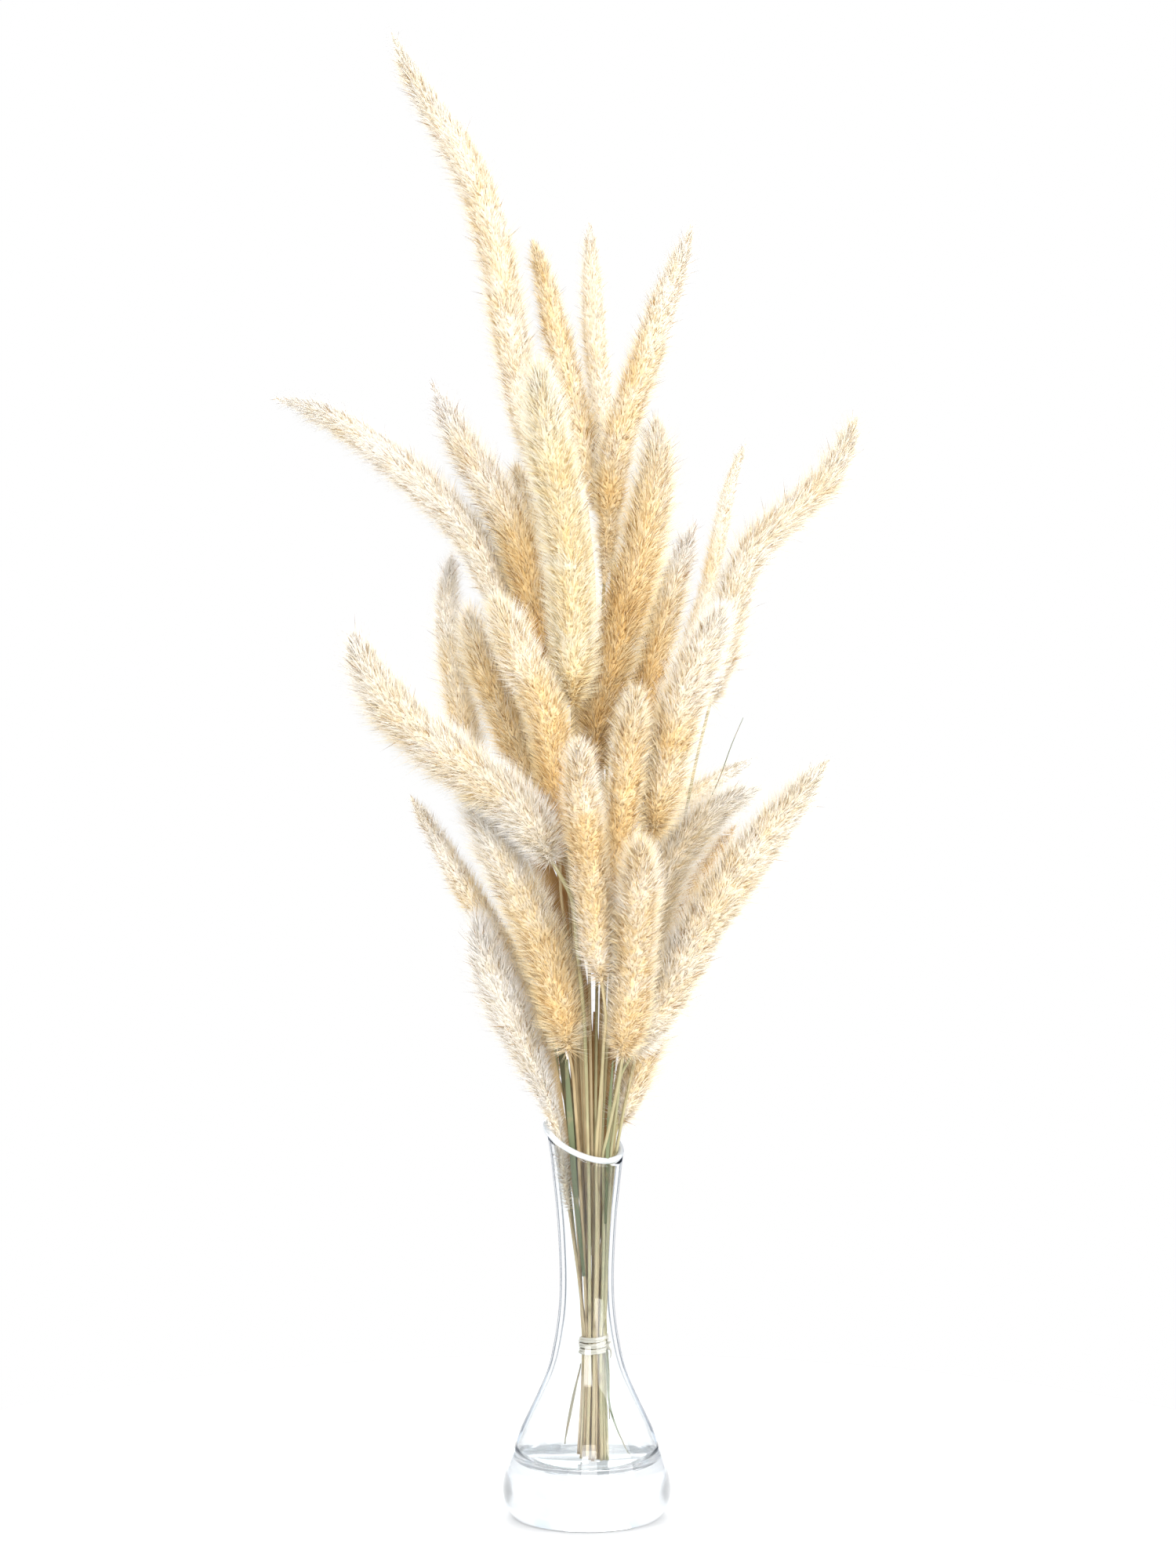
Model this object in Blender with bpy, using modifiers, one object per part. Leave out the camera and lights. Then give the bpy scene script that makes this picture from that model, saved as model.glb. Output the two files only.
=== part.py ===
"""A tied bunch of dried grass with long fuzzy seed heads, standing in a clear glass vase.

Metres, +Z up, the front faces -Y. The origin is the middle of the vase's flat foot.

The bunch is laid out from a front elevation. Every seed head has a middle line
drawn on that elevation and a distance behind or in front of the vase's axis.
The stems are packed in a hexagon inside the tie, fan out through the neck and
then settle, so that no stem or head passes through another.
"""

import math
from dataclasses import dataclass

import bpy
import numpy as np
from mathutils import Vector

NAME = "bunny_tail_grass_bundle"

# Front elevation: the size of one grid unit, its middle line and its ground line
UNIT = 0.000385
MIDDLE = 748.5
GROUND = 1932.0

# Where the elevation is seen from, level with the middle of the bunch
EYE_ACROSS = 0.0006
EYE_HEIGHT = 0.359
EYE_DISTANCE = 1.5

# Vase: height and radius of its outer and inner sides, foot to mouth
FOOT_RADIUS = 0.0340
OUTER_SIDE = (
    (0.0008, 0.0362), (0.0045, 0.0392), (0.0095, 0.0408), (0.0145, 0.0412), (0.0200, 0.0404),
    (0.0255, 0.0386), (0.0320, 0.0362), (0.0395, 0.0339), (0.0470, 0.0305), (0.0585, 0.0249),
    (0.0700, 0.0199), (0.0780, 0.0175), (0.0880, 0.0155), (0.1020, 0.0137), (0.1170, 0.0132),
    (0.1300, 0.0136), (0.1480, 0.0147), (0.1625, 0.0162), (0.1790, 0.0181), (0.1930, 0.0204),
    (0.2060, 0.0229),
)
CAVITY_FLOOR = 0.0240
FLOOR_RADIUS = 0.0230
INNER_SIDE = (
    (0.0247, 0.0275), (0.0268, 0.0313), (0.0300, 0.0337), (0.0335, 0.0339), (0.0395, 0.0318),
    (0.0470, 0.0284), (0.0585, 0.0228), (0.0700, 0.0178), (0.0780, 0.0154), (0.0880, 0.0134),
    (0.1020, 0.0116), (0.1170, 0.0111), (0.1300, 0.0115), (0.1480, 0.0126), (0.1625, 0.0141),
    (0.1790, 0.0160), (0.1930, 0.0183), (0.2060, 0.0208),
)
VASE_STEPS = 44

# The mouth is cut on a slant: its height on the axis, and how it falls to the right and to the front
MOUTH_HEIGHT = 0.1855
MOUTH_SLOPE_X = -0.35
MOUTH_SLOPE_Y = 0.38

# Stems
STEM_RADIUS = 0.00085
SLOT_PITCH = 0.0021
FOOT_SPREAD = 1.38
FOOT_CENTRE = (0.0027, 0.0)
FOOT_HEIGHT = 0.0244
HEAD_GAP = 0.0004
STEM_POINTS = 17

# The tie of flat raffia
TIE_CENTRE = (0.0033, 0.0)
TIE_LOW = 0.0775
TIE_HIGH = 0.0895
TIE_TURNS = 3
TIE_PITCH = 0.00295
TIE_HALF_THICKNESS = 0.0005
TIE_HALF_WIDTH = 0.0008
TIE_POINTS_PER_TURN = 20

# Seed heads: the firm core is this much of the fuzzy width
CORE_SHARE = 0.78
HEAD_POINTS = 12
TAPERED = (
    (0.0, 0.30), (0.05, 0.66), (0.12, 0.90), (0.22, 1.0), (0.62, 1.0),
    (0.78, 0.86), (0.90, 0.62), (0.97, 0.38), (1.0, 0.14),
)
BLUNT = (
    (0.0, 0.30), (0.05, 0.66), (0.12, 0.90), (0.22, 1.0), (0.76, 1.0),
    (0.88, 0.90), (0.95, 0.68), (1.0, 0.30),
)

# Settling: the clearance asked for, and how many rounds are run
CLEARANCE = 0.0005
ROUNDS = 400
REFRESH = 15


@dataclass(frozen=True)
class Plume:
    """A seed head on the front elevation, its middle line running from base to tip.

    near and far are the depths of its base and its tip behind the axis, in metres.
    neck holds back the radius of a head that starts inside the vase.
    """

    line: tuple
    width: float
    near: float
    far: float
    shape: tuple = TAPERED
    girth: float = 1.0
    neck: bool = False


PLUMES = (
    # Upper row
    Plume(
        ((686, 610), (668, 520), (650, 422), (630, 307), (594, 204), (533, 112), (500, 42)),
        60, 0.022, 0.0,
    ),
    Plume(((768, 660), (751, 594), (732, 510), (707, 414), (688, 332), (679, 306)), 46, 0.014, 0.020),
    Plume(((774, 610), (768, 530), (761, 460), (756, 385), (754, 326), (753, 280)), 42, 0.035, 0.075),
    Plume(
        ((775, 684), (778, 640), (786, 575), (804, 512), (823, 462), (846, 388), (868, 332), (882, 288)),
        52, 0.010, -0.005,
    ),
    Plume(
        ((730, 902), (730, 850), (730, 780), (724, 695), (712, 626), (701, 570), (693, 525), (687, 465)),
        70, -0.022, -0.075, BLUNT,
    ),
    # Left and middle rows
    Plume(
        (
            (672, 850), (645, 780), (620, 722), (595, 678), (550, 630),
            (499, 585), (444, 545), (398, 520), (353, 508),
        ),
        58, 0.008, 0.025,
    ),
    Plume(
        ((702, 880), (686, 800), (669, 715), (648, 662), (620, 614), (587, 563), (567, 521), (553, 492)),
        62, 0.0, 0.022,
    ),
    Plume(
        ((712, 930), (700, 860), (690, 780), (680, 700), (672, 645), (658, 597)),
        50, 0.024, 0.050, BLUNT,
    ),
    Plume(
        ((757, 970), (768, 890), (785, 825), (801, 765), (816, 710), (829, 650), (838, 595), (838, 540)),
        66, -0.008, -0.030, BLUNT,
    ),
    Plume(((862, 870), (885, 805), (908, 730), (922, 660), (936, 602), (953, 561)), 30, 0.045, 0.095),
    Plume(
        (
            (905, 900), (922, 830), (934, 770), (950, 720), (985, 676),
            (1025, 643), (1060, 607), (1079, 568), (1093, 531),
        ),
        54, 0.015, 0.030,
    ),
    Plume(
        ((800, 985), (818, 905), (832, 845), (846, 790), (862, 732), (876, 697), (886, 669)),
        50, 0.012, 0.025,
    ),
    Plume(
        ((831, 1064), (842, 1015), (855, 955), (870, 895), (888, 850), (906, 812), (920, 779)),
        68, -0.016, -0.050, BLUNT,
    ),
    Plume(
        ((622, 1050), (600, 965), (588, 900), (577, 830), (570, 775), (572, 735), (577, 707)),
        48, 0.015, 0.060,
    ),
    Plume(
        ((708, 1075), (685, 1020), (665, 965), (645, 915), (622, 860), (606, 815), (598, 781)),
        56, 0.004, 0.005, BLUNT,
    ),
    Plume(
        ((714, 1085), (712, 1020), (704, 950), (690, 890), (668, 850), (650, 808), (632, 764)),
        62, -0.020, -0.060, BLUNT,
    ),
    Plume(
        ((705, 1100), (680, 1055), (640, 1013), (585, 975), (533, 933), (490, 888), (464, 848), (451, 812)),
        76, -0.030, -0.075, BLUNT, 1.35,
    ),
    # Front and lower rows
    Plume(
        ((768, 1255), (762, 1200), (755, 1120), (747, 1060), (741, 1010), (738, 948)),
        54, -0.030, -0.085, BLUNT,
    ),
    Plume(
        ((775, 1215), (780, 1150), (790, 1062), (799, 985), (806, 930), (811, 884)),
        52, -0.018, -0.048, BLUNT,
    ),
    Plume(
        ((794, 1348), (802, 1295), (808, 1230), (812, 1170), (816, 1120), (817, 1076)),
        64, -0.020, -0.070, BLUNT,
    ),
    Plume(
        ((802, 1290), (820, 1210), (840, 1145), (862, 1092), (892, 1054), (930, 1022), (970, 1005)),
        62, 0.004, 0.0,
    ),
    Plume(
        ((800, 1200), (812, 1135), (830, 1072), (860, 1032), (900, 1003), (935, 982), (965, 966)),
        36, 0.024, 0.055,
    ),
    Plume(
        ((806, 1346), (835, 1297), (871, 1229), (905, 1170), (945, 1108), (985, 1057), (1020, 1014), (1055, 971)),
        74, -0.008, -0.045,
    ),
    Plume(
        ((812, 1325), (828, 1270), (848, 1220), (867, 1175), (890, 1125), (914, 1083), (937, 1054)),
        38, 0.014, 0.025,
    ),
    Plume(
        ((712, 1375), (690, 1310), (662, 1245), (630, 1190), (595, 1135), (562, 1078), (524, 1016)),
        44, 0.0, 0.0,
    ),
    Plume(
        ((726, 1342), (716, 1285), (695, 1210), (668, 1150), (640, 1095), (616, 1050), (600, 1012)),
        70, -0.016, -0.040, BLUNT,
    ),
    Plume(
        ((727, 1545), (717, 1480), (706, 1425), (682, 1365), (652, 1300), (628, 1245), (613, 1200), (606, 1170)),
        66, -0.003, -0.018, BLUNT, 1.0, True,
    ),
    Plume(((789, 1434), (800, 1404), (812, 1368), (828, 1320), (850, 1272), (885, 1200)), 54, 0.004, 0.020),
)


@dataclass(frozen=True)
class Leaf:
    """A dry leaf blade on the front elevation, with the depth of its start and of its end.

    tilt turns its flat side to the bundle, and taper is its width at four places along it.
    """

    name: str
    line: tuple
    near: float
    far: float
    half_width: float
    tilt: float
    taper: tuple


LEAVES = (
    Leaf(
        "leaf_blade_neck", ((745, 1628), (738, 1560), (731, 1480), (726, 1420), (722, 1350)),
        -0.0085, -0.0145, 0.0016, 2.09, (0.5, 0.8, 1.1, 1.3),
    ),
    Leaf(
        "leaf_strip_foot", ((741.5, 1738), (733, 1772), (726, 1808), (720, 1842)),
        -0.0016, -0.0040, 0.0012, 1.51, (0.6, 1.0, 0.9, 0.4),
    ),
)
LEAF_HALF_THICKNESS = 0.0003
LEAF_ROOM = 0.0007
LEAF_POINTS = 10


@dataclass
class Strand:
    """A chain of points with a radius at each, and how freely each point may settle."""

    name: str
    points: np.ndarray
    radii: np.ndarray
    pinned: np.ndarray
    traced: np.ndarray


def clear_scene():
    for obj in list(bpy.data.objects):
        bpy.data.objects.remove(obj, do_unlink=True)


def make_collection(name):
    collection = bpy.data.collections.new(name)
    bpy.context.scene.collection.children.link(collection)
    return collection


def make_material(name, colour, roughness, metallic=0.0, transmission=0.0):
    material = bpy.data.materials.new(name)
    material.use_nodes = True
    shader = material.node_tree.nodes["Principled BSDF"]
    shader.inputs["Base Color"].default_value = (*colour, 1.0)
    shader.inputs["Roughness"].default_value = roughness
    shader.inputs["Metallic"].default_value = metallic
    shader.inputs["Transmission Weight"].default_value = transmission
    material.diffuse_color = (*colour, 1.0)
    return material


def on_sight_line(across, up, depth):
    """The points at these depths that show at these places of the front elevation."""
    x = (across - MIDDLE) * UNIT
    z = (GROUND - up) * UNIT
    scale = (EYE_DISTANCE + depth) / EYE_DISTANCE
    seen_x = EYE_ACROSS + (x - EYE_ACROSS) * scale
    seen_z = EYE_HEIGHT + (z - EYE_HEIGHT) * scale
    return np.stack([seen_x, depth + 0.0 * x, seen_z], axis=-1)


def smooth_line(line, count):
    """Evenly spaced points on a smooth curve through the given ones."""
    line = np.asarray(line, float)
    steps = np.linalg.norm(np.diff(line, axis=0), axis=1)
    places = np.concatenate([[0.0], np.cumsum(steps)])
    slopes = np.gradient(line, places, axis=0)
    wanted = np.linspace(0.0, places[-1], count)
    index = np.clip(np.searchsorted(places, wanted, side="right") - 1, 0, len(line) - 2)
    width = (places[index + 1] - places[index])[:, None]
    t = (wanted - places[index])[:, None] / width
    start = (2 * t**3 - 3 * t**2 + 1) * line[index] + (t**3 - 2 * t**2 + t) * width * slopes[index]
    end = (3 * t**2 - 2 * t**3) * line[index + 1] + (t**3 - t**2) * width * slopes[index + 1]
    return start + end


def inner_radius(height):
    heights = [0.0] + [z for z, _ in INNER_SIDE]
    radii = [FLOOR_RADIUS] + [r for _, r in INNER_SIDE]
    return np.interp(height, heights, radii)


def mouth_height(x, y):
    return MOUTH_HEIGHT + MOUTH_SLOPE_X * x + MOUTH_SLOPE_Y * y


def hexagon_slots(count):
    """The places of a hexagonal packing that lie nearest to its middle."""
    places = []
    for row in range(-4, 5):
        for column in range(-5, 6):
            x = SLOT_PITCH * (column + 0.5 * (row % 2) - 0.25)
            y = SLOT_PITCH * row * math.sqrt(3) / 2
            places.append((round(math.hypot(x, y), 7), round(math.atan2(y, x), 5), x, y))
    places.sort()
    slots = np.array([place[2:] for place in places[:count]])
    return slots - slots.mean(axis=0)


def share_out(slots, wanted):
    """Which slot each stem takes: swaps go on until no swap brings two stems nearer to their places."""
    count = len(slots)
    taken = np.empty(count, int)
    taken[np.argsort(np.hypot(*wanted.T))] = np.argsort(np.hypot(*slots.T))
    cost = ((wanted[:, None] - slots[None]) ** 2).sum(axis=-1)
    swapped = True
    while swapped:
        swapped = False
        for i in range(count):
            for j in range(i + 1, count):
                now = cost[i, taken[i]] + cost[j, taken[j]]
                other = cost[i, taken[j]] + cost[j, taken[i]]
                if other < now - 1e-12:
                    taken[i], taken[j] = taken[j], taken[i]
                    swapped = True
    return taken


def stem_slots(bases):
    """A place in the tie for each stem, the ones that lean out most on the outside."""
    slots = hexagon_slots(len(bases))
    lean = (bases[:, :2] - TIE_CENTRE) / (bases[:, 2:] - TIE_HIGH)
    size = np.hypot(*lean.T)
    ranked = np.sort(np.hypot(*slots.T))[np.argsort(np.argsort(size))]
    wanted = lean / size[:, None] * ranked[:, None]
    return slots[share_out(slots, wanted)]


def stem_line(slot, base, direction):
    """A stem from its cut foot, straight through the tie, and then curving to its head."""
    foot = np.array([*(slot * FOOT_SPREAD + FOOT_CENTRE), FOOT_HEIGHT])
    low = np.array([*(slot + TIE_CENTRE), TIE_LOW])
    high = np.array([*(slot + TIE_CENTRE), TIE_HIGH])
    reach = np.linalg.norm(base - high)
    t = (np.linspace(0.0, 1.0, STEM_POINTS - 3) ** 1.5)[:, None]
    rise = np.array([0.0, 0.0, 0.9 * reach])
    start = (2 * t**3 - 3 * t**2 + 1) * high + (t**3 - 2 * t**2 + t) * rise
    end = (3 * t**2 - 2 * t**3) * base + (t**3 - t**2) * direction * 0.9 * reach
    return np.concatenate([[foot, 0.5 * (foot + low), low], start + end])


def head_radii(plume, points):
    along = np.linspace(0.0, 1.0, HEAD_POINTS)
    shape = np.array(plume.shape)
    radii = np.interp(along, shape[:, 0], shape[:, 1]) * plume.width * UNIT / 2 * CORE_SHARE
    if plume.neck:
        held = np.interp(points[:, 2], (0.14, 0.19, 0.215, 0.25), (0.0012, 0.0020, 0.0048, 0.012))
        radii = np.minimum(radii, held)
    return radii


def plume_strands():
    """One strand for each stem with its seed head, the stem's points first."""
    heads = []
    for plume in PLUMES:
        line = smooth_line(plume.line, HEAD_POINTS)
        depth = np.linspace(plume.near, plume.far, HEAD_POINTS)
        heads.append(on_sight_line(line[:, 0], line[:, 1], depth))
    slots = stem_slots(np.array([head[0] for head in heads]))
    strands = []
    for number, (plume, head, slot) in enumerate(zip(PLUMES, heads, slots), 1):
        direction = (head[1] - head[0]) / np.linalg.norm(head[1] - head[0])
        stem = stem_line(slot, head[0] - direction * HEAD_GAP, direction)
        girth = np.interp(stem[:, 2], (0.18, 0.24), (1.0, plume.girth))
        radii = np.concatenate([STEM_RADIUS * girth, head_radii(plume, head)])
        is_head = np.arange(STEM_POINTS + HEAD_POINTS) >= STEM_POINTS
        pinned = np.arange(STEM_POINTS + HEAD_POINTS) < 4
        line = smooth_line(plume.line, HEAD_POINTS)
        traced = np.full((len(is_head), 2), np.nan)
        traced[is_head] = line
        strands.append(Strand(f"{number:02d}", np.concatenate([stem, head]), radii, pinned, traced))
    return strands


def leaf_strands():
    strands = []
    for leaf in LEAVES:
        line = smooth_line(leaf.line, LEAF_POINTS)
        points = on_sight_line(line[:, 0], line[:, 1], np.linspace(leaf.near, leaf.far, LEAF_POINTS))
        radii = np.full(LEAF_POINTS, LEAF_ROOM)
        strands.append(Strand(leaf.name, points, radii, np.zeros(LEAF_POINTS, bool), line))
    return strands


def closest_places(p, u, q, v):
    """How far along the segments p + s u and q + t v they come nearest to each other."""
    w = p - q
    uu = (u * u).sum(axis=1)
    uv = (u * v).sum(axis=1)
    vv = (v * v).sum(axis=1)
    uw = (u * w).sum(axis=1)
    vw = (v * w).sum(axis=1)
    s = np.clip((uv * vw - vv * uw) / np.maximum(uu * vv - uv * uv, 1e-14), 0.0, 1.0)
    t = np.clip((uv * s + vw) / vv, 0.0, 1.0)
    return np.clip((uv * t - uw) / uu, 0.0, 1.0), t


def near_pairs(p, q, radii, owner):
    """The pairs of segments, of two different strands, whose boxes come near each other."""
    reach = radii[:, None] + 0.004
    low = np.minimum(p, q) - reach
    high = np.maximum(p, q) + reach
    near = owner[:, None] < owner[None, :]
    for axis in range(3):
        near &= low[:, None, axis] < high[None, :, axis]
        near &= high[:, None, axis] > low[None, :, axis]
    return np.nonzero(near)


def pushes(points, radii, first, pairs):
    """How far each point is pushed by the strands that come too near it."""
    p = points[first]
    u = points[first + 1] - p
    grow = radii[first + 1] - radii[first]
    a, b = pairs
    s, t = closest_places(p[a], u[a], p[b], u[b])
    apart = p[a] + s[:, None] * u[a] - p[b] - t[:, None] * u[b]
    distance = np.maximum(np.linalg.norm(apart, axis=1), 1e-9)
    short = radii[first][a] + s * grow[a] + radii[first][b] + t * grow[b] + CLEARANCE - distance
    hit = short > 0.0
    push = apart[hit] / distance[hit][:, None] * short[hit][:, None] * 0.5
    move = np.zeros_like(points)
    weight = np.zeros(len(points))
    for side, segments, place in ((1.0, a[hit], s[hit]), (-1.0, b[hit], t[hit])):
        for step, share in ((0, 1.0 - place), (1, place)):
            np.add.at(move, first[segments] + step, side * push * share[:, None])
            np.add.at(weight, first[segments] + step, share)
    return move / np.maximum(weight, 1.0)[:, None]


def wall_pushes(points, radii, first):
    """How far each point is pushed inwards by the side of the vase."""
    move = np.zeros_like(points)
    weight = np.zeros(len(points))
    for place in (0.0, 0.2, 0.4, 0.6, 0.8):
        middle = (1.0 - place) * points[first] + place * points[first + 1]
        reach = (1.0 - place) * radii[first] + place * radii[first + 1] + CLEARANCE
        x, y, height = middle.T
        out = np.maximum(np.hypot(x, y), 1e-9)
        over = out + reach - inner_radius(height)
        hit = (over > 0.0) & (height < mouth_height(x, y) + reach)
        push = -middle[hit] / out[hit][:, None] * over[hit][:, None] * (1.0, 1.0, 0.0)
        for step, share in ((0, 1.0 - place), (1, place)):
            np.add.at(move, first[hit] + step, push * share)
            np.add.at(weight, first[hit] + step, share)
    return move / np.maximum(weight, 1.0)[:, None]


def settle(strands):
    """Moves the strands apart until none passes through another or through the vase."""
    sizes = [len(strand.points) for strand in strands]
    offsets = np.concatenate([[0], np.cumsum(sizes)[:-1]])
    points = np.concatenate([strand.points for strand in strands])
    radii = np.concatenate([strand.radii for strand in strands])
    pinned = np.concatenate([strand.pinned for strand in strands])
    traced = np.concatenate([strand.traced for strand in strands])
    owner = np.repeat(np.arange(len(strands)), sizes)
    seen = ~np.isnan(traced[:, 0])
    first = np.nonzero(owner[:-1] == owner[1:])[0]
    inside = first[1:][owner[first[1:] - 1] == owner[first[1:]]]
    inside = inside[~pinned[inside]]
    rest = points.copy()
    joints = offsets[: len(PLUMES)] + STEM_POINTS
    for turn in range(ROUNDS):
        if turn % REFRESH == 0:
            widest = np.maximum(radii[first], radii[first + 1])
            pairs = near_pairs(points[first], points[first + 1], widest, owner[first])
        move = pushes(points, radii, first, pairs)
        spread = move.copy()
        spread[inside] = 0.25 * move[inside - 1] + 0.5 * move[inside] + 0.25 * move[inside + 1]
        points += 0.7 * move + 0.7 * spread
        # What the elevation shows goes back to its sight line, and keeps its depth loosely
        depth = points[seen, 1]
        points[seen] += 0.35 * (on_sight_line(traced[seen, 0], traced[seen, 1], depth) - points[seen])
        points[seen, 1] += 0.003 * (rest[seen, 1] - points[seen, 1])
        # Stems and heads stay gently bent
        bend = 0.5 * (points[inside - 1] + points[inside + 1]) - points[inside]
        points[inside] += 0.08 * bend
        # A stem ends just under its head and in line with it
        axis = points[joints + 1] - points[joints]
        axis /= np.linalg.norm(axis, axis=1)[:, None]
        points[joints - 1] = points[joints] - axis * HEAD_GAP
        reach = np.linalg.norm(points[joints] - points[joints - 2], axis=1)[:, None]
        points[joints - 2] += 0.5 * (points[joints] - axis * reach - points[joints - 2])
        points += wall_pushes(points, radii, first)
        points[pinned] = rest[pinned]
    for strand, offset, size in zip(strands, offsets, sizes):
        strand.points = points[offset : offset + size]


def make_curve(
    name, points, radii, material, collection, resolution, extrude=0.0, tilt=0.0, twist="MINIMUM"
):
    """A rod along the points, or a flat strip where extrude is given, with closed ends."""
    curve = bpy.data.curves.new(name, "CURVE")
    curve.dimensions = "3D"
    curve.twist_mode = twist
    curve.bevel_depth = max(radii)
    curve.bevel_resolution = resolution
    curve.extrude = extrude
    curve.use_fill_caps = True
    spline = curve.splines.new("POLY")
    spline.points.add(len(points) - 1)
    for point, place, radius in zip(spline.points, points, radii):
        point.co = (*place, 1.0)
        point.radius = radius / max(radii)
        point.tilt = tilt
    spline.use_smooth = True
    curve.materials.append(material)
    obj = bpy.data.objects.new(name, curve)
    collection.objects.link(obj)
    return obj


def make_vase(material, collection, cutters):
    """The turned vase with its thick foot, its mouth cut off on a slant."""
    profile = [(0.0, CAVITY_FLOOR), (FLOOR_RADIUS, CAVITY_FLOOR)]
    profile += [(r, z) for z, r in INNER_SIDE]
    profile += [(r, z) for z, r in reversed(OUTER_SIDE)]
    profile += [(FOOT_RADIUS, 0.0), (0.0, 0.0)]
    mesh = bpy.data.meshes.new("vase")
    edges = [(i, i + 1) for i in range(len(profile) - 1)]
    mesh.from_pydata([(r, 0.0, z) for r, z in profile], edges, [])
    mesh.materials.append(material)
    vase = bpy.data.objects.new("vase", mesh)
    collection.objects.link(vase)
    screw = vase.modifiers.new("Turn", "SCREW")
    screw.steps = VASE_STEPS
    screw.render_steps = VASE_STEPS
    screw.use_merge_vertices = True
    screw.merge_threshold = 0.00005
    screw.use_smooth_shade = True
    cut = vase.modifiers.new("Slanted mouth", "BOOLEAN")
    cut.operation = "DIFFERENCE"
    cut.object = make_mouth_cutter(cutters)
    return vase


def make_mouth_cutter(cutters):
    """A block whose lower face is the plane of the mouth."""
    size = 0.1
    normal = Vector((-MOUTH_SLOPE_X, -MOUTH_SLOPE_Y, 1.0)).normalized()
    bpy.ops.mesh.primitive_cube_add(size=size)
    cutter = bpy.context.active_object
    cutter.name = "mouth_cutter"
    cutter.rotation_mode = "QUATERNION"
    cutter.rotation_quaternion = normal.to_track_quat("Z", "Y")
    cutter.location = Vector((0.0, 0.0, MOUTH_HEIGHT)) + normal * size / 2
    cutter.hide_render = True
    cutter.display_type = "WIRE"
    for collection in list(cutter.users_collection):
        collection.objects.unlink(cutter)
    cutters.objects.link(cutter)
    return cutter


def make_tie(slots, material, collection):
    """Flat raffia wound round the stems, following the outline of the packed bundle."""
    count = TIE_TURNS * TIE_POINTS_PER_TURN + 1
    bottom = 0.5 * (TIE_LOW + TIE_HIGH) - 0.5 * TIE_TURNS * TIE_PITCH
    offset = STEM_RADIUS + TIE_HALF_THICKNESS + 0.0003
    points = []
    for i in range(count):
        angle = 2 * math.pi * i / TIE_POINTS_PER_TURN
        out = np.array([math.cos(angle), math.sin(angle)])
        radius = (slots @ out).max() + offset
        height = bottom + TIE_PITCH * i / TIE_POINTS_PER_TURN
        points.append((TIE_CENTRE[0] + radius * out[0], TIE_CENTRE[1] + radius * out[1], height))
    radii = [TIE_HALF_THICKNESS] * count
    return make_curve("twine_tie", points, radii, material, collection, 1, TIE_HALF_WIDTH, 0.0, "Z_UP")


def main():
    clear_scene()
    parts = make_collection(NAME)
    cutters = make_collection("cutters")
    glass = make_material("clear_glass", (0.93, 0.96, 0.97), 0.03, transmission=1.0)
    raffia = make_material("raffia", (0.78, 0.74, 0.64), 0.8)
    straw = make_material("dry_stem", (0.42, 0.37, 0.19), 0.6)
    fuzz = make_material("seed_fuzz", (0.83, 0.67, 0.41), 0.9)
    blade = make_material("dry_leaf", (0.38, 0.36, 0.17), 0.7)

    plumes = plume_strands()
    leaves = leaf_strands()
    settle(plumes + leaves)

    make_vase(glass, parts, cutters)
    slots = np.array([strand.points[3, :2] - TIE_CENTRE for strand in plumes])
    make_tie(slots, raffia, parts)
    for strand in plumes:
        stem = strand.points[:STEM_POINTS]
        head = strand.points[STEM_POINTS:]
        make_curve(f"stem_{strand.name}", stem, strand.radii[:STEM_POINTS], straw, parts, 1)
        make_curve(f"seed_head_{strand.name}", head, strand.radii[STEM_POINTS:], fuzz, parts, 2)
    for leaf, strand in zip(LEAVES, leaves):
        taper = np.interp(np.linspace(0.0, 1.0, LEAF_POINTS), (0.0, 0.2, 0.7, 1.0), leaf.taper)
        radii = LEAF_HALF_THICKNESS * taper
        extrude = leaf.half_width - LEAF_HALF_THICKNESS
        make_curve(leaf.name, strand.points, radii, blade, parts, 1, extrude, leaf.tilt)


main()
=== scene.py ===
"""A tied bunch of dried grass with long fuzzy seed heads, standing in a clear glass vase.

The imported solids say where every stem, head, leaf, tie and glass wall is. Each one is
replaced by its finished piece, which follows the middle line of its solid.
"""

import sys

import logging
import math
from dataclasses import dataclass, field
from enum import Enum
from typing import Any

import bpy
import numpy as np
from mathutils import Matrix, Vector


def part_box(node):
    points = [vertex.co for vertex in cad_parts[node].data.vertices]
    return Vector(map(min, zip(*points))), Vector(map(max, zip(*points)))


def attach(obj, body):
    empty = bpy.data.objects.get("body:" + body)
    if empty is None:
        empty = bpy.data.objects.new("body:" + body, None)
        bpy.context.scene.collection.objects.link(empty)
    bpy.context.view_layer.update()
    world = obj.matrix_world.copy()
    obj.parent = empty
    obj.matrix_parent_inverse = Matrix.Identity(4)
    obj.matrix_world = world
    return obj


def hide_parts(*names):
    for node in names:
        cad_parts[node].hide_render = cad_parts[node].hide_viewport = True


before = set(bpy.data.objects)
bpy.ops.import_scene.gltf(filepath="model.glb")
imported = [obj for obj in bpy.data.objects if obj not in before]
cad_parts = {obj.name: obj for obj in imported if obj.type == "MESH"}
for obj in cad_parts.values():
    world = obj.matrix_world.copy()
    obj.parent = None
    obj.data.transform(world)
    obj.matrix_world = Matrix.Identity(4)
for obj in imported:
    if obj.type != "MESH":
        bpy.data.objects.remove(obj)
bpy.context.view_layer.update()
LOG = logging.getLogger("dried_grass_bundle")

Colour = tuple[float, float, float]
Line = np.ndarray
Profile = tuple[tuple[float, ...], tuple[float, ...]]

FULL_TURN = 2 * math.pi

# The front view, 1500 wide and 2000 high: the metres in one step of it at the vase's axis,
# where that axis and the vase's foot show in it, and where it is seen from.
PIXEL = 0.000385
MIDDLE_ACROSS = 748.5
GROUND_UP = 1932.0
EYE = (0.0006, -1.5, 0.359)


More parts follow.
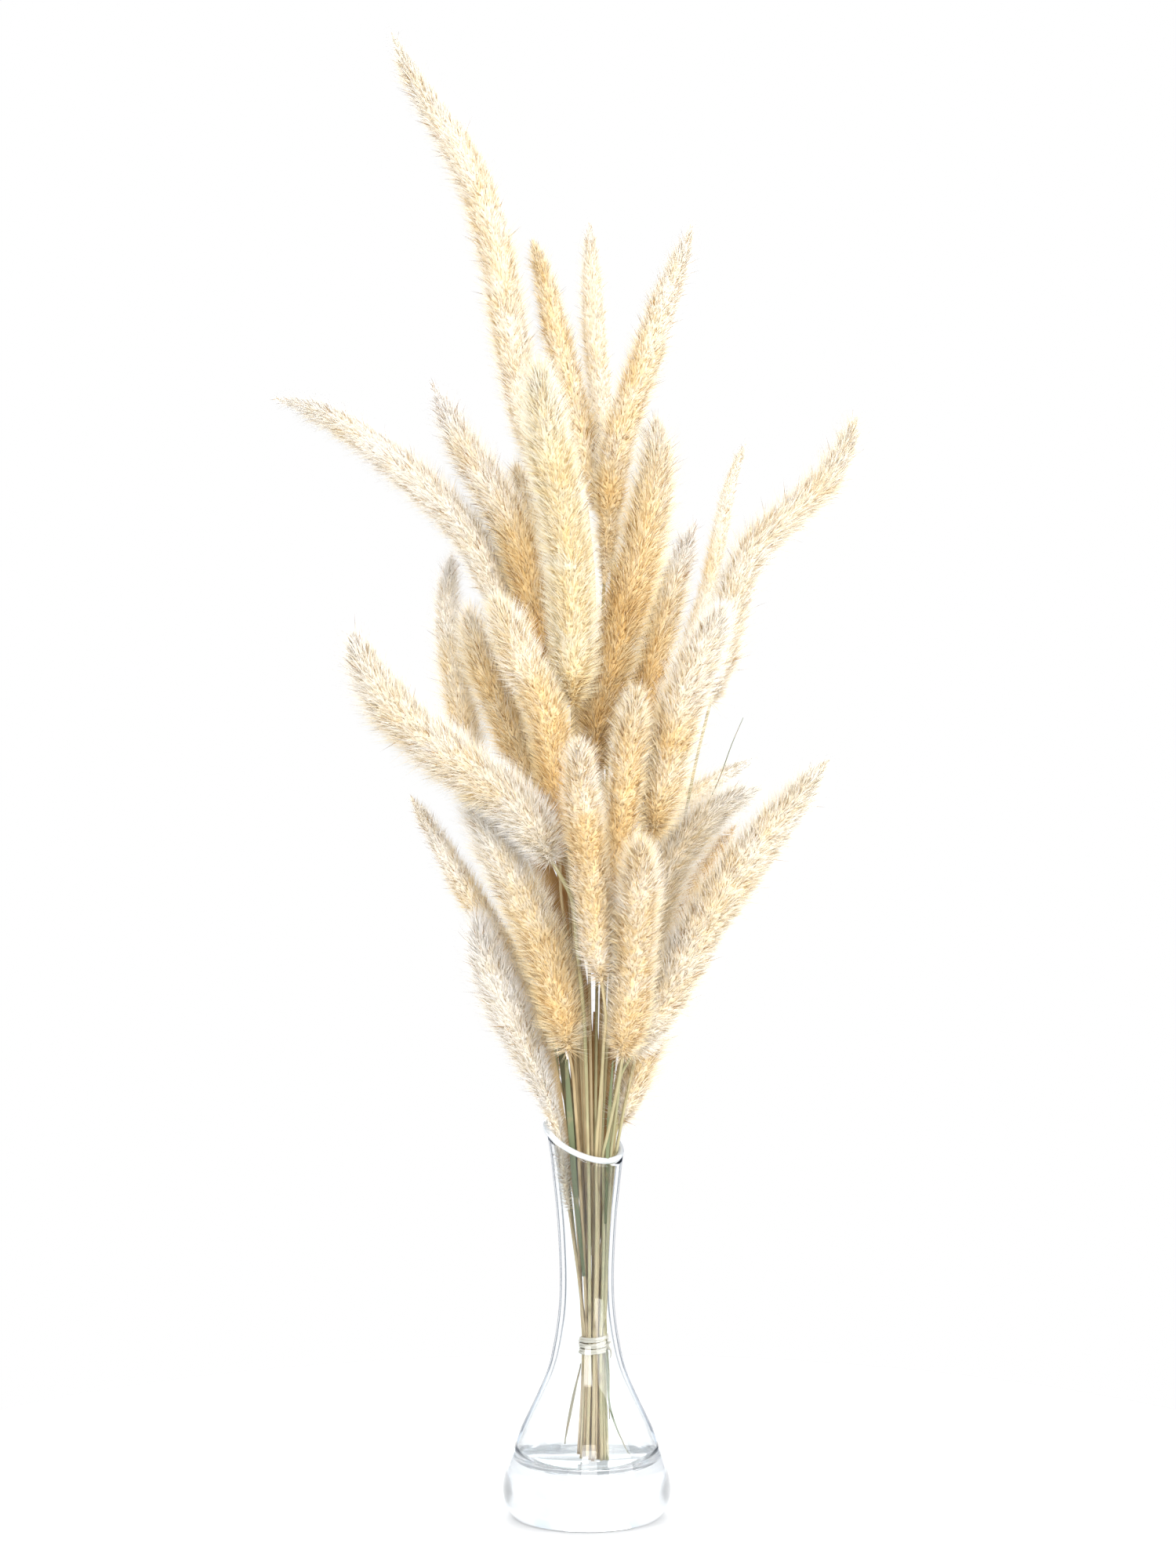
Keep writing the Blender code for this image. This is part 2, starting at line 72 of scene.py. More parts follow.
# --- node trees


class Field:
    """A socket of a node tree that takes part in sums like a number."""

    def __init__(self, wiring: "Wiring", socket: bpy.types.NodeSocket) -> None:
        """Holds one output socket."""
        self.wiring = wiring
        self.socket = socket

    def other(self, output: str | int) -> "Field":
        """Another output of the same node."""
        return Field(self.wiring, self.wiring.pick(self.socket.node.outputs, output))

    def __add__(self, other: Any) -> "Field":
        """self + other."""
        return self.wiring.maths("ADD", self, other)

    def __radd__(self, other: Any) -> "Field":
        """other + self."""
        return self.wiring.maths("ADD", other, self)

    def __sub__(self, other: Any) -> "Field":
        """self - other."""
        return self.wiring.maths("SUBTRACT", self, other)

    def __rsub__(self, other: Any) -> "Field":
        """other - self."""
        return self.wiring.maths("SUBTRACT", other, self)

    def __mul__(self, other: Any) -> "Field":
        """self * other."""
        return self.wiring.maths("MULTIPLY", self, other)

    def __rmul__(self, other: Any) -> "Field":
        """other * self."""
        return self.wiring.maths("MULTIPLY", other, self)


class Wiring:
    """Adds nodes and links to one node tree."""

    def __init__(self, tree: bpy.types.NodeTree) -> None:
        """Holds the tree."""
        self.tree = tree

    @staticmethod
    def pick(sockets: Any, name: str | int) -> bpy.types.NodeSocket:
        """The socket of this place, or the first one in use with this name."""
        if isinstance(name, int):
            return sockets[name]
        return next(socket for socket in sockets if socket.name == name and socket.enabled)

    def node(
        self,
        kind: str,
        settings: dict[str, Any] | None = None,
        inputs: dict[str | int, Any] | None = None,
        output: str | int = 0,
    ) -> Field:
        """Adds one node.

        Args:
            kind: the node's type.
            settings: its properties, set before its sockets. "stops" fills a colour ramp.
            inputs: values or fields for its sockets, by name or place.
            output: the output wanted.

        Returns:
            That output, or the first input of a node that has no output.
        """
        made = self.tree.nodes.new(kind)
        for name, value in (settings or {}).items():
            if name == "stops":
                self._fill_ramp(made.color_ramp, value)
            else:
                setattr(made, name, value)
        for name, value in (inputs or {}).items():
            socket = self.pick(made.inputs, name)
            if isinstance(value, Field):
                self.tree.links.new(value.socket, socket)
            else:
                socket.default_value = value
        return Field(self, self.pick(made.outputs, output) if len(made.outputs) else made.inputs[0])

    @staticmethod
    def _fill_ramp(ramp: bpy.types.ColorRamp, stops: list[tuple[float, Colour]]) -> None:
        """Sets a ramp's stops, each a place and a colour."""
        for place, _ in stops[2:]:
            ramp.elements.new(place)
        for element, (place, colour) in zip(ramp.elements, stops):
            element.position = place
            element.color = (*colour, 1.0)

    def ramp(self, factor: Any, stops: list[tuple[float, Colour]]) -> Field:
        """A colour that changes with a factor."""
        return self.node("ShaderNodeValToRGB", {"stops": stops}, {"Fac": factor}, "Color")

    def mix(self, factor: Any, first: Any, second: Any) -> Field:
        """A mix of two colours."""
        settings = {"data_type": "RGBA", "clamp_factor": True}
        return self.node("ShaderNodeMix", settings, {"Factor": factor, "A": first, "B": second}, "Result")

    def step(self, value: Any, low: float, high: float) -> Field:
        """0 below low, 1 above high, and smooth between."""
        inputs = {"Value": value, "From Min": low, "From Max": high}
        return self.node("ShaderNodeMapRange", {"interpolation_type": "SMOOTHSTEP"}, inputs)

    def clamp(self, value: Any, low: float, high: float) -> Field:
        """A number held between two others."""
        return self.node("ShaderNodeClamp", {}, {"Value": value, "Min": low, "Max": high})

    def maths(self, operation: str, *values: Any) -> Field:
        """A sum of numbers, or a function of one."""
        return self.node("ShaderNodeMath", {"operation": operation}, dict(enumerate(values)))

    def vector(self, operation: str, *values: Any) -> Field:
        """A sum of vectors."""
        return self.node("ShaderNodeVectorMath", {"operation": operation}, dict(enumerate(values)))

    def scaled(self, vector: Any, factor: Any) -> Field:
        """A vector times a number."""
        return self.node("ShaderNodeVectorMath", {"operation": "SCALE"}, {0: vector, "Scale": factor})

    def noise(self, place: Any, scale: float, detail: float = 2.0, roughness: float = 0.5) -> Field:
        """Noise from 0 to 1 at a place."""
        inputs = {"Vector": place, "Scale": scale, "Detail": detail, "Roughness": roughness}
        return self.node("ShaderNodeTexNoise", {}, inputs)

    def attribute(self, name: str) -> Field:
        """The number of this name that a piece's mesh carries."""
        return self.node("ShaderNodeAttribute", {"attribute_name": name}, output="Fac")

    def place(self) -> Field:
        """The place in the piece's own frame."""
        return self.node("ShaderNodeTexCoord", output="Object")

    def height(self, place: Any) -> Field:
        """How high a place is."""
        return self.node("ShaderNodeSeparateXYZ", {}, {0: place}, "Z")

    def bump(self, strength: float, height: Field, distance: float = 0.0002) -> Field:
        """Fine relief."""
        inputs = {"Strength": strength, "Distance": distance, "Height": height}
        return self.node("ShaderNodeBump", {}, inputs)

    def surface(self, colour: Any, roughness: Any, inputs: dict[str, Any]) -> Field:
        """The surface shader with these inputs."""
        inputs = {"Base Color": colour, "Roughness": roughness, **inputs}
        return self.node("ShaderNodeBsdfPrincipled", {}, inputs)


# --- finishes


@dataclass(frozen=True)
class Finish:
    """A material that is made once and used by many pieces."""

    name: str

    def wire(self, w: Wiring) -> Field:
        """Builds the surface shader.

        Args:
            w: the material's tree.

        Returns:
            The shader.
        """
        raise NotImplementedError

    def material(self) -> bpy.types.Material:
        """The finished material, made at its first use."""
        made = bpy.data.materials.get(self.name)
        if made is None:
            made = bpy.data.materials.new(self.name)
            made.use_nodes = True
            made.node_tree.nodes.clear()
            w = Wiring(made.node_tree)
            w.node("ShaderNodeOutputMaterial", {}, {"Surface": self.wire(w)})
        return made


@dataclass(frozen=True)
class FuzzFinish(Finish):
    """Bristles that are deeper gold at their roots and paler at their tips.

    tone is a bristle's own shade, from brown gold at 0.1 to white cream at 1, and below 0.05 the
    bristle ends in a dark awn. reach runs from its root to its tip. Each of the shades is a tone
    with its colours at the root and at the tip.
    """

    lean: Colour = (1.0, 1.0, 1.0)
    awn: Colour = (0.27, 0.15, 0.06)
    roughness: float = 0.8
    shades: tuple[tuple[float, Colour, Colour], ...] = (
        (0.08, (0.56, 0.31, 0.08), (0.72, 0.45, 0.16)),
        (0.30, (0.81, 0.54, 0.20), (0.93, 0.70, 0.34)),
        (0.50, (0.90, 0.70, 0.37), (0.96, 0.82, 0.54)),
        (0.72, (0.95, 0.85, 0.66), (0.97, 0.92, 0.82)),
        (1.00, (0.98, 0.94, 0.85), (0.99, 0.975, 0.95)),
    )

    def _leaned(self, colour: Colour) -> Colour:
        """The colour, leaned a little towards another."""
        return tuple(min(part * share, 1.0) for part, share in zip(colour, self.lean))

    def wire(self, w: Wiring) -> Field:
        """Mixes the bristle's colours by its tone and reach."""
        tone, reach = w.attribute("tone"), w.attribute("reach")
        low = w.ramp(tone, [(place, self._leaned(root)) for place, root, _ in self.shades])
        high = w.ramp(tone, [(place, self._leaned(tip)) for place, _, tip in self.shades])
        colour = w.mix(w.step(reach, 0.05, 0.8), low, high)
        dark = w.step(tone, 0.06, 0.045) * w.step(reach, 0.30, 0.5)
        sheen = {"Sheen Weight": 0.15, "Sheen Roughness": 0.5, "Sheen Tint": (1.0, 0.95, 0.85, 1.0)}
        colour = w.mix(dark, colour, (*self.awn, 1.0))
        return w.surface(colour, self.roughness, {"Specular IOR Level": 0.25, **sheen})


@dataclass(frozen=True)
class StrawFinish(Finish):
    """A dry stalk with long faint ribs, darker joints and blotches.

    hue picks brown, straw or green. Each of the hues is a place in that choice with its colour.
    """

    grain: Colour = (0.80, 0.71, 0.50)
    age: Colour = (0.30, 0.23, 0.11)
    joint: Colour = (0.22, 0.15, 0.07)
    hues: tuple[tuple[float, Colour], ...] = (
        (0.0, (0.15, 0.10, 0.05)),
        (0.15, (0.36, 0.25, 0.13)),
        (0.32, (0.60, 0.46, 0.28)),
        (0.62, (0.60, 0.51, 0.30)),
        (0.80, (0.46, 0.45, 0.26)),
        (1.0, (0.30, 0.34, 0.19)),
    )

    def wire(self, w: Wiring) -> Field:
        """Mixes straw, green and brown along the stalk."""
        place = w.place()
        stretched = w.vector("MULTIPLY", place, (1.0, 1.0, 0.06))
        grain = w.noise(stretched, 900.0, 3.0, 0.6)
        # From just above the tie upwards the stalk's hue runs greener and darker blotches gather on it.
        upper_share = w.step(w.height(place), 0.09, 0.22)
        hue = w.attribute("hue") * (0.80 + 0.20 * upper_share) + (w.noise(place, 45.0) - 0.5) * 0.8
        colour = w.mix((grain - 0.35) * 0.6, w.ramp(hue, self.hues), (*self.grain, 1.0))
        colour = w.mix(upper_share * (0.25 + 0.6 * w.noise(stretched, 420.0)), colour, (*self.age, 1.0))
        colour = w.mix(w.attribute("joint") * 0.75, colour, (*self.joint, 1.0))
        relief = {"Specular IOR Level": 0.35, "Normal": w.bump(0.35, grain)}
        return w.surface(colour, 0.5 + 0.25 * grain, relief)


@dataclass(frozen=True)
class LeafFinish(Finish):
    """A dry blade with fine veins along it. across runs over its width."""

    vein: Colour
    flesh: Colour
    dry: Colour

    def wire(self, w: Wiring) -> Field:
        """Draws veins along the blade and dry patches over it."""
        veins = w.step(w.maths("SINE", w.attribute("across") * 62.0), 0.2, 0.95)
        patch = w.noise(w.place(), 70.0, 3.0)
        colour = w.mix(veins * 0.55, (*self.flesh, 1.0), (*self.vein, 1.0))
        colour = w.mix(w.step(patch, 0.5, 0.68), colour, (*self.dry, 1.0))
        relief = {"Specular IOR Level": 0.3, "Normal": w.bump(0.4, veins)}
        return w.surface(colour, 0.5 + 0.3 * patch, relief)


@dataclass(frozen=True)
class RaffiaFinish(Finish):
    """Pale raffia with fine fibres along each strand. across runs over a strand's width."""

    gap: Colour = (0.74, 0.70, 0.58)
    fibre: Colour = (0.87, 0.83, 0.73)
    stain: Colour = (0.80, 0.72, 0.56)

    def wire(self, w: Wiring) -> Field:
        """Draws fibres along the strand."""
        place = w.place()
        waves = w.maths("SINE", w.attribute("across") * 40.0 + 6.0 * w.noise(place, 300.0))
        fibres = w.step(waves, -0.4, 0.9)
        patch = w.noise(place, 260.0, 3.0)
        colour = w.mix(fibres, (*self.gap, 1.0), (*self.fibre, 1.0))
        colour = w.mix(w.step(patch, 0.55, 0.78) * 0.3, colour, (*self.stain, 1.0))
        relief = {"Specular IOR Level": 0.3, "Normal": w.bump(0.5, fibres)}
        return w.surface(colour, 0.6 + 0.2 * patch, relief)


@dataclass(frozen=True)
class GlassFinish(Finish):
    """Glass with a faint cool tint and a breath of unevenness from blowing."""

    tint: Colour = (0.965, 0.985, 0.99)
    roughness: float = 0.0
    ior: float = 1.5
    clearness: float = 1.0
    wave_scale: float = 38.0
    waviness: float = 0.06

    def wire(self, w: Wiring) -> Field:
        """A glass whose surface waves very slightly."""
        bump = w.bump(self.waviness, w.noise(w.place(), self.wave_scale, 1.0), 0.001)
        inputs = {"IOR": self.ior, "Transmission Weight": self.clearness, "Normal": bump}
        return w.surface((*self.tint, 1.0), self.roughness, inputs)


@dataclass(frozen=True)
class FloorFinish(Finish):
    """A plain pale sheet, softly lit from below."""

    glow: float = 0.10

    def wire(self, w: Wiring) -> Field:
        """An even, matte near-white."""
        shade = w.mix(w.noise(w.place(), 3.0), (0.60, 0.60, 0.61, 1.0), (0.64, 0.64, 0.64, 1.0))
        glow = {"Emission Color": (0.97, 0.99, 1.0, 1.0), "Emission Strength": self.glow}
        return w.surface(shade, 0.9, glow)


class Fuzz(Enum):
    """The kinds of fur that the seed heads have."""

    CREAM = FuzzFinish("fuzz_cream", (0.975, 0.985, 1.03))
    LEMON = FuzzFinish("fuzz_lemon", (0.96, 0.985, 1.0))
    ASH = FuzzFinish("fuzz_ash", (0.935, 0.95, 1.03))


class Tone(Enum):
    """How pale the fur is."""

    UMBER = 0.17
    BROWN = 0.30
    GOLD = 0.40
    STRAW = 0.50
    BUFF = 0.59
    CREAM = 0.69
    WHITE = 0.80
    # The palest cream, set paler still as painted light for tips that lie in shade.
    SNOW = 0.95


DRY_STRAW = StrawFinish("dry_straw")
GREEN_LEAF = LeafFinish("green_dry_leaf", (0.32, 0.33, 0.20), (0.15, 0.18, 0.09), (0.34, 0.27, 0.15))
PALE_LEAF = LeafFinish("pale_dry_leaf", (0.60, 0.50, 0.30), (0.40, 0.36, 0.18), (0.55, 0.42, 0.22))
DULL_LEAF = LeafFinish("dull_dry_leaf", (0.44, 0.38, 0.26), (0.30, 0.27, 0.17), (0.36, 0.27, 0.16))
# The near-black leaf is painted shade: its blade stands where the inside of the bunch lies in shade.
SHADE_DARK_LEAF = LeafFinish("dark_dry_leaf", (0.20, 0.19, 0.11), (0.10, 0.10, 0.05), (0.20, 0.15, 0.08))
# The brown leaf is partly a dried leaf's own brown and partly painted shade: its blades stand at the back of
# the bunch, where the inside lies in shade.
BROWN_LEAF_AND_SHADE = LeafFinish("brown_dry_leaf", (0.48, 0.31, 0.14), (0.34, 0.20, 0.08), (0.52, 0.35, 0.17))
STRAW_LEAF = LeafFinish("straw_dry_leaf", (0.66, 0.52, 0.31), (0.54, 0.40, 0.22), (0.48, 0.34, 0.18))
RAFFIA = RaffiaFinish("pale_raffia")
PAPER = FloorFinish("pale_floor")

# The walls are clear. The foot's deep glass looks softer and a little bluer. The rim's glass is
# partly milky white, as painted light for the light that its fire-polished bead gathers.
GLASS = GlassFinish("clear_vase_glass")
FOOT_GLASS = GlassFinish("thick_foot_glass", (0.92, 0.95, 0.975), 0.1, 1.45, 0.8)
RIM_PAINTED_LIGHT_GLASS = GlassFinish("milky_rim_glass", (0.93, 0.97, 1.0), 0.03, 1.5, 0.52, 60.0, 0.08)


# --- lines and meshes


def smooth_line(line: Line, count: int) -> Line:
    """Evenly spaced places on a smooth curve through the given ones.

    Args:
        line: points, or points with further columns such as a radius.
        count: how many places are wanted.

    Returns:
        The places, one a row.
    """
    steps = np.maximum(np.linalg.norm(np.diff(line[:, :3], axis=0), axis=1), 1e-9)
    places = np.concatenate([[0.0], np.cumsum(steps)])
    slopes = np.gradient(line, places, axis=0)
    wanted = np.linspace(0.0, places[-1], count)
    index = np.clip(np.searchsorted(places, wanted, side="right") - 1, 0, len(line) - 2)
    width = (places[index + 1] - places[index])[:, None]
    t = (wanted - places[index])[:, None] / width
    start = (2 * t**3 - 3 * t**2 + 1) * line[index] + (t**3 - 2 * t**2 + t) * width * slopes[index]
    end = (3 * t**2 - 2 * t**3) * line[index + 1] + (t**3 - t**2) * width * slopes[index + 1]
    return start + end


def length_of(line: Line) -> float:
    """How long a line is."""
    return np.linalg.norm(np.diff(line[:, :3], axis=0), axis=1).sum()


def run_along(line: Line) -> Line:
    """How far along a line each of its places is."""
    return np.concatenate([[0.0], np.cumsum(np.linalg.norm(np.diff(line[:, :3], axis=0), axis=1))])


def unit(vectors: Line) -> Line:
    """The vectors, each made one long."""
    return vectors / np.maximum(np.linalg.norm(vectors, axis=-1, keepdims=True), 1e-12)


def circle(count: int) -> Line:
    """Evenly spaced angles round a circle."""
    return np.linspace(0.0, FULL_TURN, count, endpoint=False)


def side_vectors(points: Line, first: Line | None = None) -> tuple[Line, Line, Line]:
    """Directions along and across a line that turn as little as they can.

    Args:
        points: the line.
        first: the sideways direction wanted at its start.

    Returns:
        The directions along it, across it, and across both.
    """
    along = unit(np.gradient(points, axis=0))
    across = np.zeros_like(along)
    guess = np.array([1.0, 0.0, 0.0]) if first is None else first
    for i, direction in enumerate(along):
        guess = guess - direction * (guess @ direction)
        guess = guess / np.linalg.norm(guess)
        across[i] = guess
    return along, across, np.cross(along, across)


def tube(points: Line, across: Line, third: Line, radius: Line) -> Line:
    """The corners of a round piece along a line.

    Args:
        points: its middle line.
        across: where its first corner lies, at each place.
        third: the direction a quarter turn on, at each place.
        radius: how far out each corner of each ring lies.

    Returns:
        The corners, ring by ring.
    """
    turn = circle(radius.shape[1])[None, :, None]
    ring = np.cos(turn) * across[:, None] + np.sin(turn) * third[:, None]
    return (points[:, None] + ring * radius[..., None]).reshape(-1, 3)


def sweep_faces(rings: int, sides: int, closed_ends: bool = True) -> list:
    """The faces of a tube of rings, with an end face at each end, all facing outwards."""
    faces = []
    for i in range(rings - 1):
        for j in range(sides):
            k = (j + 1) % sides
            faces.append((i * sides + j, i * sides + k, (i + 1) * sides + k, (i + 1) * sides + j))
    if closed_ends:
        faces.append(tuple(reversed(range(sides))))
        faces.append(tuple((rings - 1) * sides + j for j in range(sides)))
    return faces


def build(name: str, points: Line, faces: list, finish: Finish, smooth: bool = True) -> bpy.types.Object:
    """Makes an object from points and faces.

    Args:
        name: the piece's name.
        points: its corners.
        faces: its faces, each a row of corners.
        finish: what it is dressed in.
        smooth: whether it is shaded smooth.

    Returns:
        The object, at the origin.
    """
    mesh = bpy.data.meshes.new(name)
    mesh.from_pydata(points.tolist(), [], faces)
    mesh.materials.append(finish.material())
    mesh.polygons.foreach_set("use_smooth", [smooth] * len(mesh.polygons))
    mesh.validate()
    made = bpy.data.objects.new(name, mesh)
    bpy.context.scene.collection.objects.link(made)
    return made


def write_attribute(made: bpy.types.Object, name: str, values: Line) -> None:
    """Gives every point of a mesh a number or a vector of this name."""
    kind, key = ("FLOAT_VECTOR", "vector") if values.ndim == 2 else ("FLOAT", "value")
    attribute = made.data.attributes.new(name, kind, "POINT")
    attribute.data.foreach_set(key, np.ascontiguousarray(values, dtype=np.float32).ravel())


def write_map(made: bpy.types.Object, places: Line) -> None:
    """Lays a mesh out flat, each corner at its point's place."""
    mesh = made.data
    corners = np.empty(len(mesh.loops), dtype=np.int32)
    mesh.loops.foreach_get("vertex_index", corners)
    layer = mesh.uv_layers.new(name="OFBake")
    layer.uv.foreach_set("vector", np.ascontiguousarray(places[corners], dtype=np.float32).ravel())


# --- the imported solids


def corners_of(node: str) -> Line:
    """The corners of a solid."""
    return np.array([v.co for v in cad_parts[node].data.vertices])


def sections(node: str, start: Vector | Line, corners: int) -> list[Line]:
    """Walks along a rod's or strip's solid from one end, ring by ring.

    Args:
        node: the solid's name.
        start: a place near the end to start from.
        corners: how many corners that end has.

    Returns:
        The corners of every ring, end to end.
    """
    points, index = np.unique(np.round(corners_of(node), 6), axis=0, return_inverse=True)
    index = index.reshape(-1)
    beside = [set() for _ in points]
    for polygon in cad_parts[node].data.polygons:
        ids = {int(index[v]) for v in polygon.vertices}
        for i in ids:
            beside[i] |= ids
    order = np.argsort(np.linalg.norm(points - np.array(start), axis=1))
    ring = {int(i) for i in order[:corners]}
    seen = set(ring)
    rings = []
    while ring:
        rings.append(points[sorted(ring)])
        ring = set().union(*(beside[i] for i in ring)) - seen
        seen |= ring
    return rings


def ring_line(rings: list[Line]) -> Line:
    """The middle and the radius of every ring, as rows of x, y, z and radius."""
    rows = []
    for ring in rings:
        middle = ring.mean(axis=0)
        rows.append([*middle, np.linalg.norm(ring - middle, axis=1).mean()])
    return np.array(rows)


def stem_line(node: str, corners: int = 6, foot_height: float = 0.002) -> tuple[Line, Line]:
    """Follows a stem's solid up from its foot.

    Args:
        node: the solid's name.
        corners: how many corners each of its rings has.
        foot_height: how much of its lower end counts as its foot.

    Returns:
        The middle of its foot, and the middle and radius of its rings.
    """
    raw = corners_of(node)
    foot = raw[raw[:, 2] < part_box(node)[0].z + foot_height].mean(axis=0)
    return foot, ring_line(sections(node, foot, corners))


def seen_at(across: float, up: float, depth: float) -> Line:
    """The place at this depth that shows at this place of the front view."""
    flat = np.array([(across - MIDDLE_ACROSS) * PIXEL, 0.0, (GROUND_UP - up) * PIXEL])
    eye = np.array(EYE)
    return eye + (flat - eye) * (depth - eye[1]) / -eye[1]


# This measure lays on the heads' painted shade: their fur is painted deeper gold where other heads crowd
# them.
def painted_shade_mask(places: Line, others: list[Line], reach: float = 0.010, batch: int = 200) -> Line:
    """How closely other heads crowd each place, from 0 in the open to 1 against one.

    Args:
        places: the places.
        others: the middle and radius of every other head, as rows.
        reach: how far away a head still counts.
        batch: how many rows are measured at once.

    Returns:
        A number for each place.
    """
    rows = np.concatenate(others)
    gap = np.full(len(places), 1.0)
    for start in range(0, len(rows), batch):
        part = rows[start:start + batch]
        apart = np.linalg.norm(places[:, None] - part[None, :, :3], axis=2) - part[None, :, 3]
        gap = np.minimum(gap, apart.min(axis=1))
    return np.exp(-np.maximum(gap, 0.0) / reach)


def settle_on(piece: bpy.types.Object, node: str | None = None) -> None:
    """Hands a finished piece to the model.

    Args:
        piece: the piece.
        node: the solid that it stands for, if any.
    """
    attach(piece, "root")
    if node:
        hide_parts(node)
    mesh = piece.data
    LOG.info("%s: %d points, %d faces", piece.name, len(mesh.vertices), len(mesh.polygons))


# --- seed heads


@dataclass
class Bristles:
    """The tree that grows bristles on a seed head's core, and the sizes that it takes."""

    density: float = 1.18e6
    thickness: float = 0.00027
    tuft_scale: float = 210.0
    tousle: float = 0.8
    stray: float = 0.46
    patch_scale: float = 48.0
    palest: float = 1.0
    deepest: float = 0.1
    tree: bpy.types.NodeTree | None = None
    sockets: dict[str, str] = field(default_factory=dict)

    def _input(self, name: str, kind: str) -> None:
        """Adds a named input."""
        made = self.tree.interface.new_socket(name, in_out="INPUT", socket_type=kind)
        self.sockets[name] = made.identifier

    def grow(self) -> None:
        """Builds the tree."""
        self.tree = bpy.data.node_groups.new("Grow bristles", "GeometryNodeTree")
        self._input("Core", "NodeSocketGeometry")
        sizes = ("Density", "Thickness", "Tuft Scale", "Tousle", "Stray", "Patch Scale", "Shade", "Awns")
        for name in sizes:
            self._input(name, "NodeSocketFloat")
        self._input("Seed", "NodeSocketInt")
        self._input("Finish", "NodeSocketMaterial")
        self.tree.interface.new_socket("Head", in_out="OUTPUT", socket_type="NodeSocketGeometry")
        w = Wiring(self.tree)
        given = w.node("NodeGroupInput", output="Core")
        core = self._shade_core(w, given)
        both = self.tree.nodes.new("GeometryNodeJoinGeometry")
        for part in (self._coat(w, given, core), core):
            self.tree.links.new(part.socket, both.inputs[0])
        head = w.node("GeometryNodeRealizeInstances", {}, {"Geometry": Field(w, both.outputs[0])})
        flat = {"X": self._named(w, "tone"), "Y": self._named(w, "reach")}
        flat = w.node("ShaderNodeCombineXYZ", {}, flat)
        flat = w.vector("MULTIPLY_ADD", flat, (0.92, 0.92, 0.0), (0.04, 0.04, 0.0))
        head = self._store(w, head, "CORNER", "FLOAT2", "OFBake", flat)
        head = w.node("GeometryNodeSetShadeSmooth", {}, {"Geometry": head})
        finish = {"Geometry": head, "Material": given.other("Finish")}
        w.node("NodeGroupOutput", {}, {"Head": w.node("GeometryNodeSetMaterial", {}, finish)})

    @staticmethod
    def _store(w: Wiring, geometry: Field, domain: str, kind: str, name: str, value: Field) -> Field:
        """Keeps a field as an attribute of this name."""
        settings = {"domain": domain, "data_type": kind}
        inputs = {"Geometry": geometry, "Name": name, "Value": value}
        return w.node("GeometryNodeStoreNamedAttribute", settings, inputs)

    @staticmethod
    def _named(w: Wiring, name: str, kind: str = "FLOAT") -> Field:
        """Reads the attribute of this name."""
        return w.node("GeometryNodeInputNamedAttribute", {"data_type": kind}, {"Name": name}, "Attribute")

    @staticmethod
    def _random(w: Wiring, kind: str, low: Any, high: Any, seed: Field) -> Field:
        """A random number or vector for every bristle."""
        inputs = {"Min": low, "Max": high, "Seed": seed}
        return w.node("FunctionNodeRandomValue", {"data_type": kind}, inputs, "Value")

    @staticmethod
    def _patches(w: Wiring, shift: Field, scale: Field, detail: float, output: int = 0) -> Field:
        """Noise over the core that each head has its own cut of."""
        inputs = {"Vector": w.node("GeometryNodeInputPosition"), "W": shift, "Scale": scale, "Detail": detail}
        return w.node("ShaderNodeTexNoise", {"noise_dimensions": "4D"}, inputs, output)

    def _shade_core(self, w: Wiring, given: Field) -> Field:
        """Gives the core its patches of darker and paler fur."""
        patch = self._patches(w, given.other("Seed") * 3.7, given.other("Patch Scale"), 2.0)
        # lift brings the fur's own tone along the head, and also the painted shade where heads crowd each
        # other.
        tone = given.other("Shade") + (patch - 0.5) * 0.5 + self._named(w, "lift")
        return self._store(w, given, "POINT", "FLOAT", "tone", w.clamp(tone, self.deepest, self.palest))

    def _coat(self, w: Wiring, given: Field, core: Field) -> Field:
        """The bristles that stand on the core, each with its own tone."""
        seed = given.other("Seed")
        density = given.other("Density") * self._named(w, "crowd")
        points = w.node(
            "GeometryNodeDistributePointsOnFaces",
            {"distribute_method": "RANDOM"},
            {"Mesh": core, "Density": density, "Seed": seed},
            "Points",
        )
        chance = {"Probability": given.other("Awns"), "Seed": seed + 5}
        awned = w.node("FunctionNodeRandomValue", {"data_type": "BOOLEAN"}, chance, "Value")
        laid = {
            "Points": points,
            "Instance": self._one_bristle(w),
            "Rotation": self._direction(w, given, points.other("Normal"), seed),
            "Scale": self._size(w, given, seed, awned),
        }
        bristles = w.node("GeometryNodeInstanceOnPoints", {}, laid, "Instances")
        own = self._random(w, "FLOAT", -0.14, 0.14, seed + 3)
        tone = w.clamp(self._named(w, "tone") + own, self.deepest, self.palest)
        tone = tone * (1.0 - awned) + 0.02 * awned
        return self._store(w, bristles, "INSTANCE", "FLOAT", "tone", tone)

    def _one_bristle(self, w: Wiring) -> Field:
        """One slender closed spike, 1 m long and 1 m thick before it is sized."""
        sizes = {"Vertices": 3, "Side Segments": 1, "Radius Top": 0.0, "Radius Bottom": 0.5, "Depth": 1.0}
        spike = w.node("GeometryNodeMeshCone", {"fill_type": "NGON"}, sizes, "Mesh")
        height = w.height(w.node("GeometryNodeInputPosition"))
        return self._store(w, spike, "POINT", "FLOAT", "reach", height)

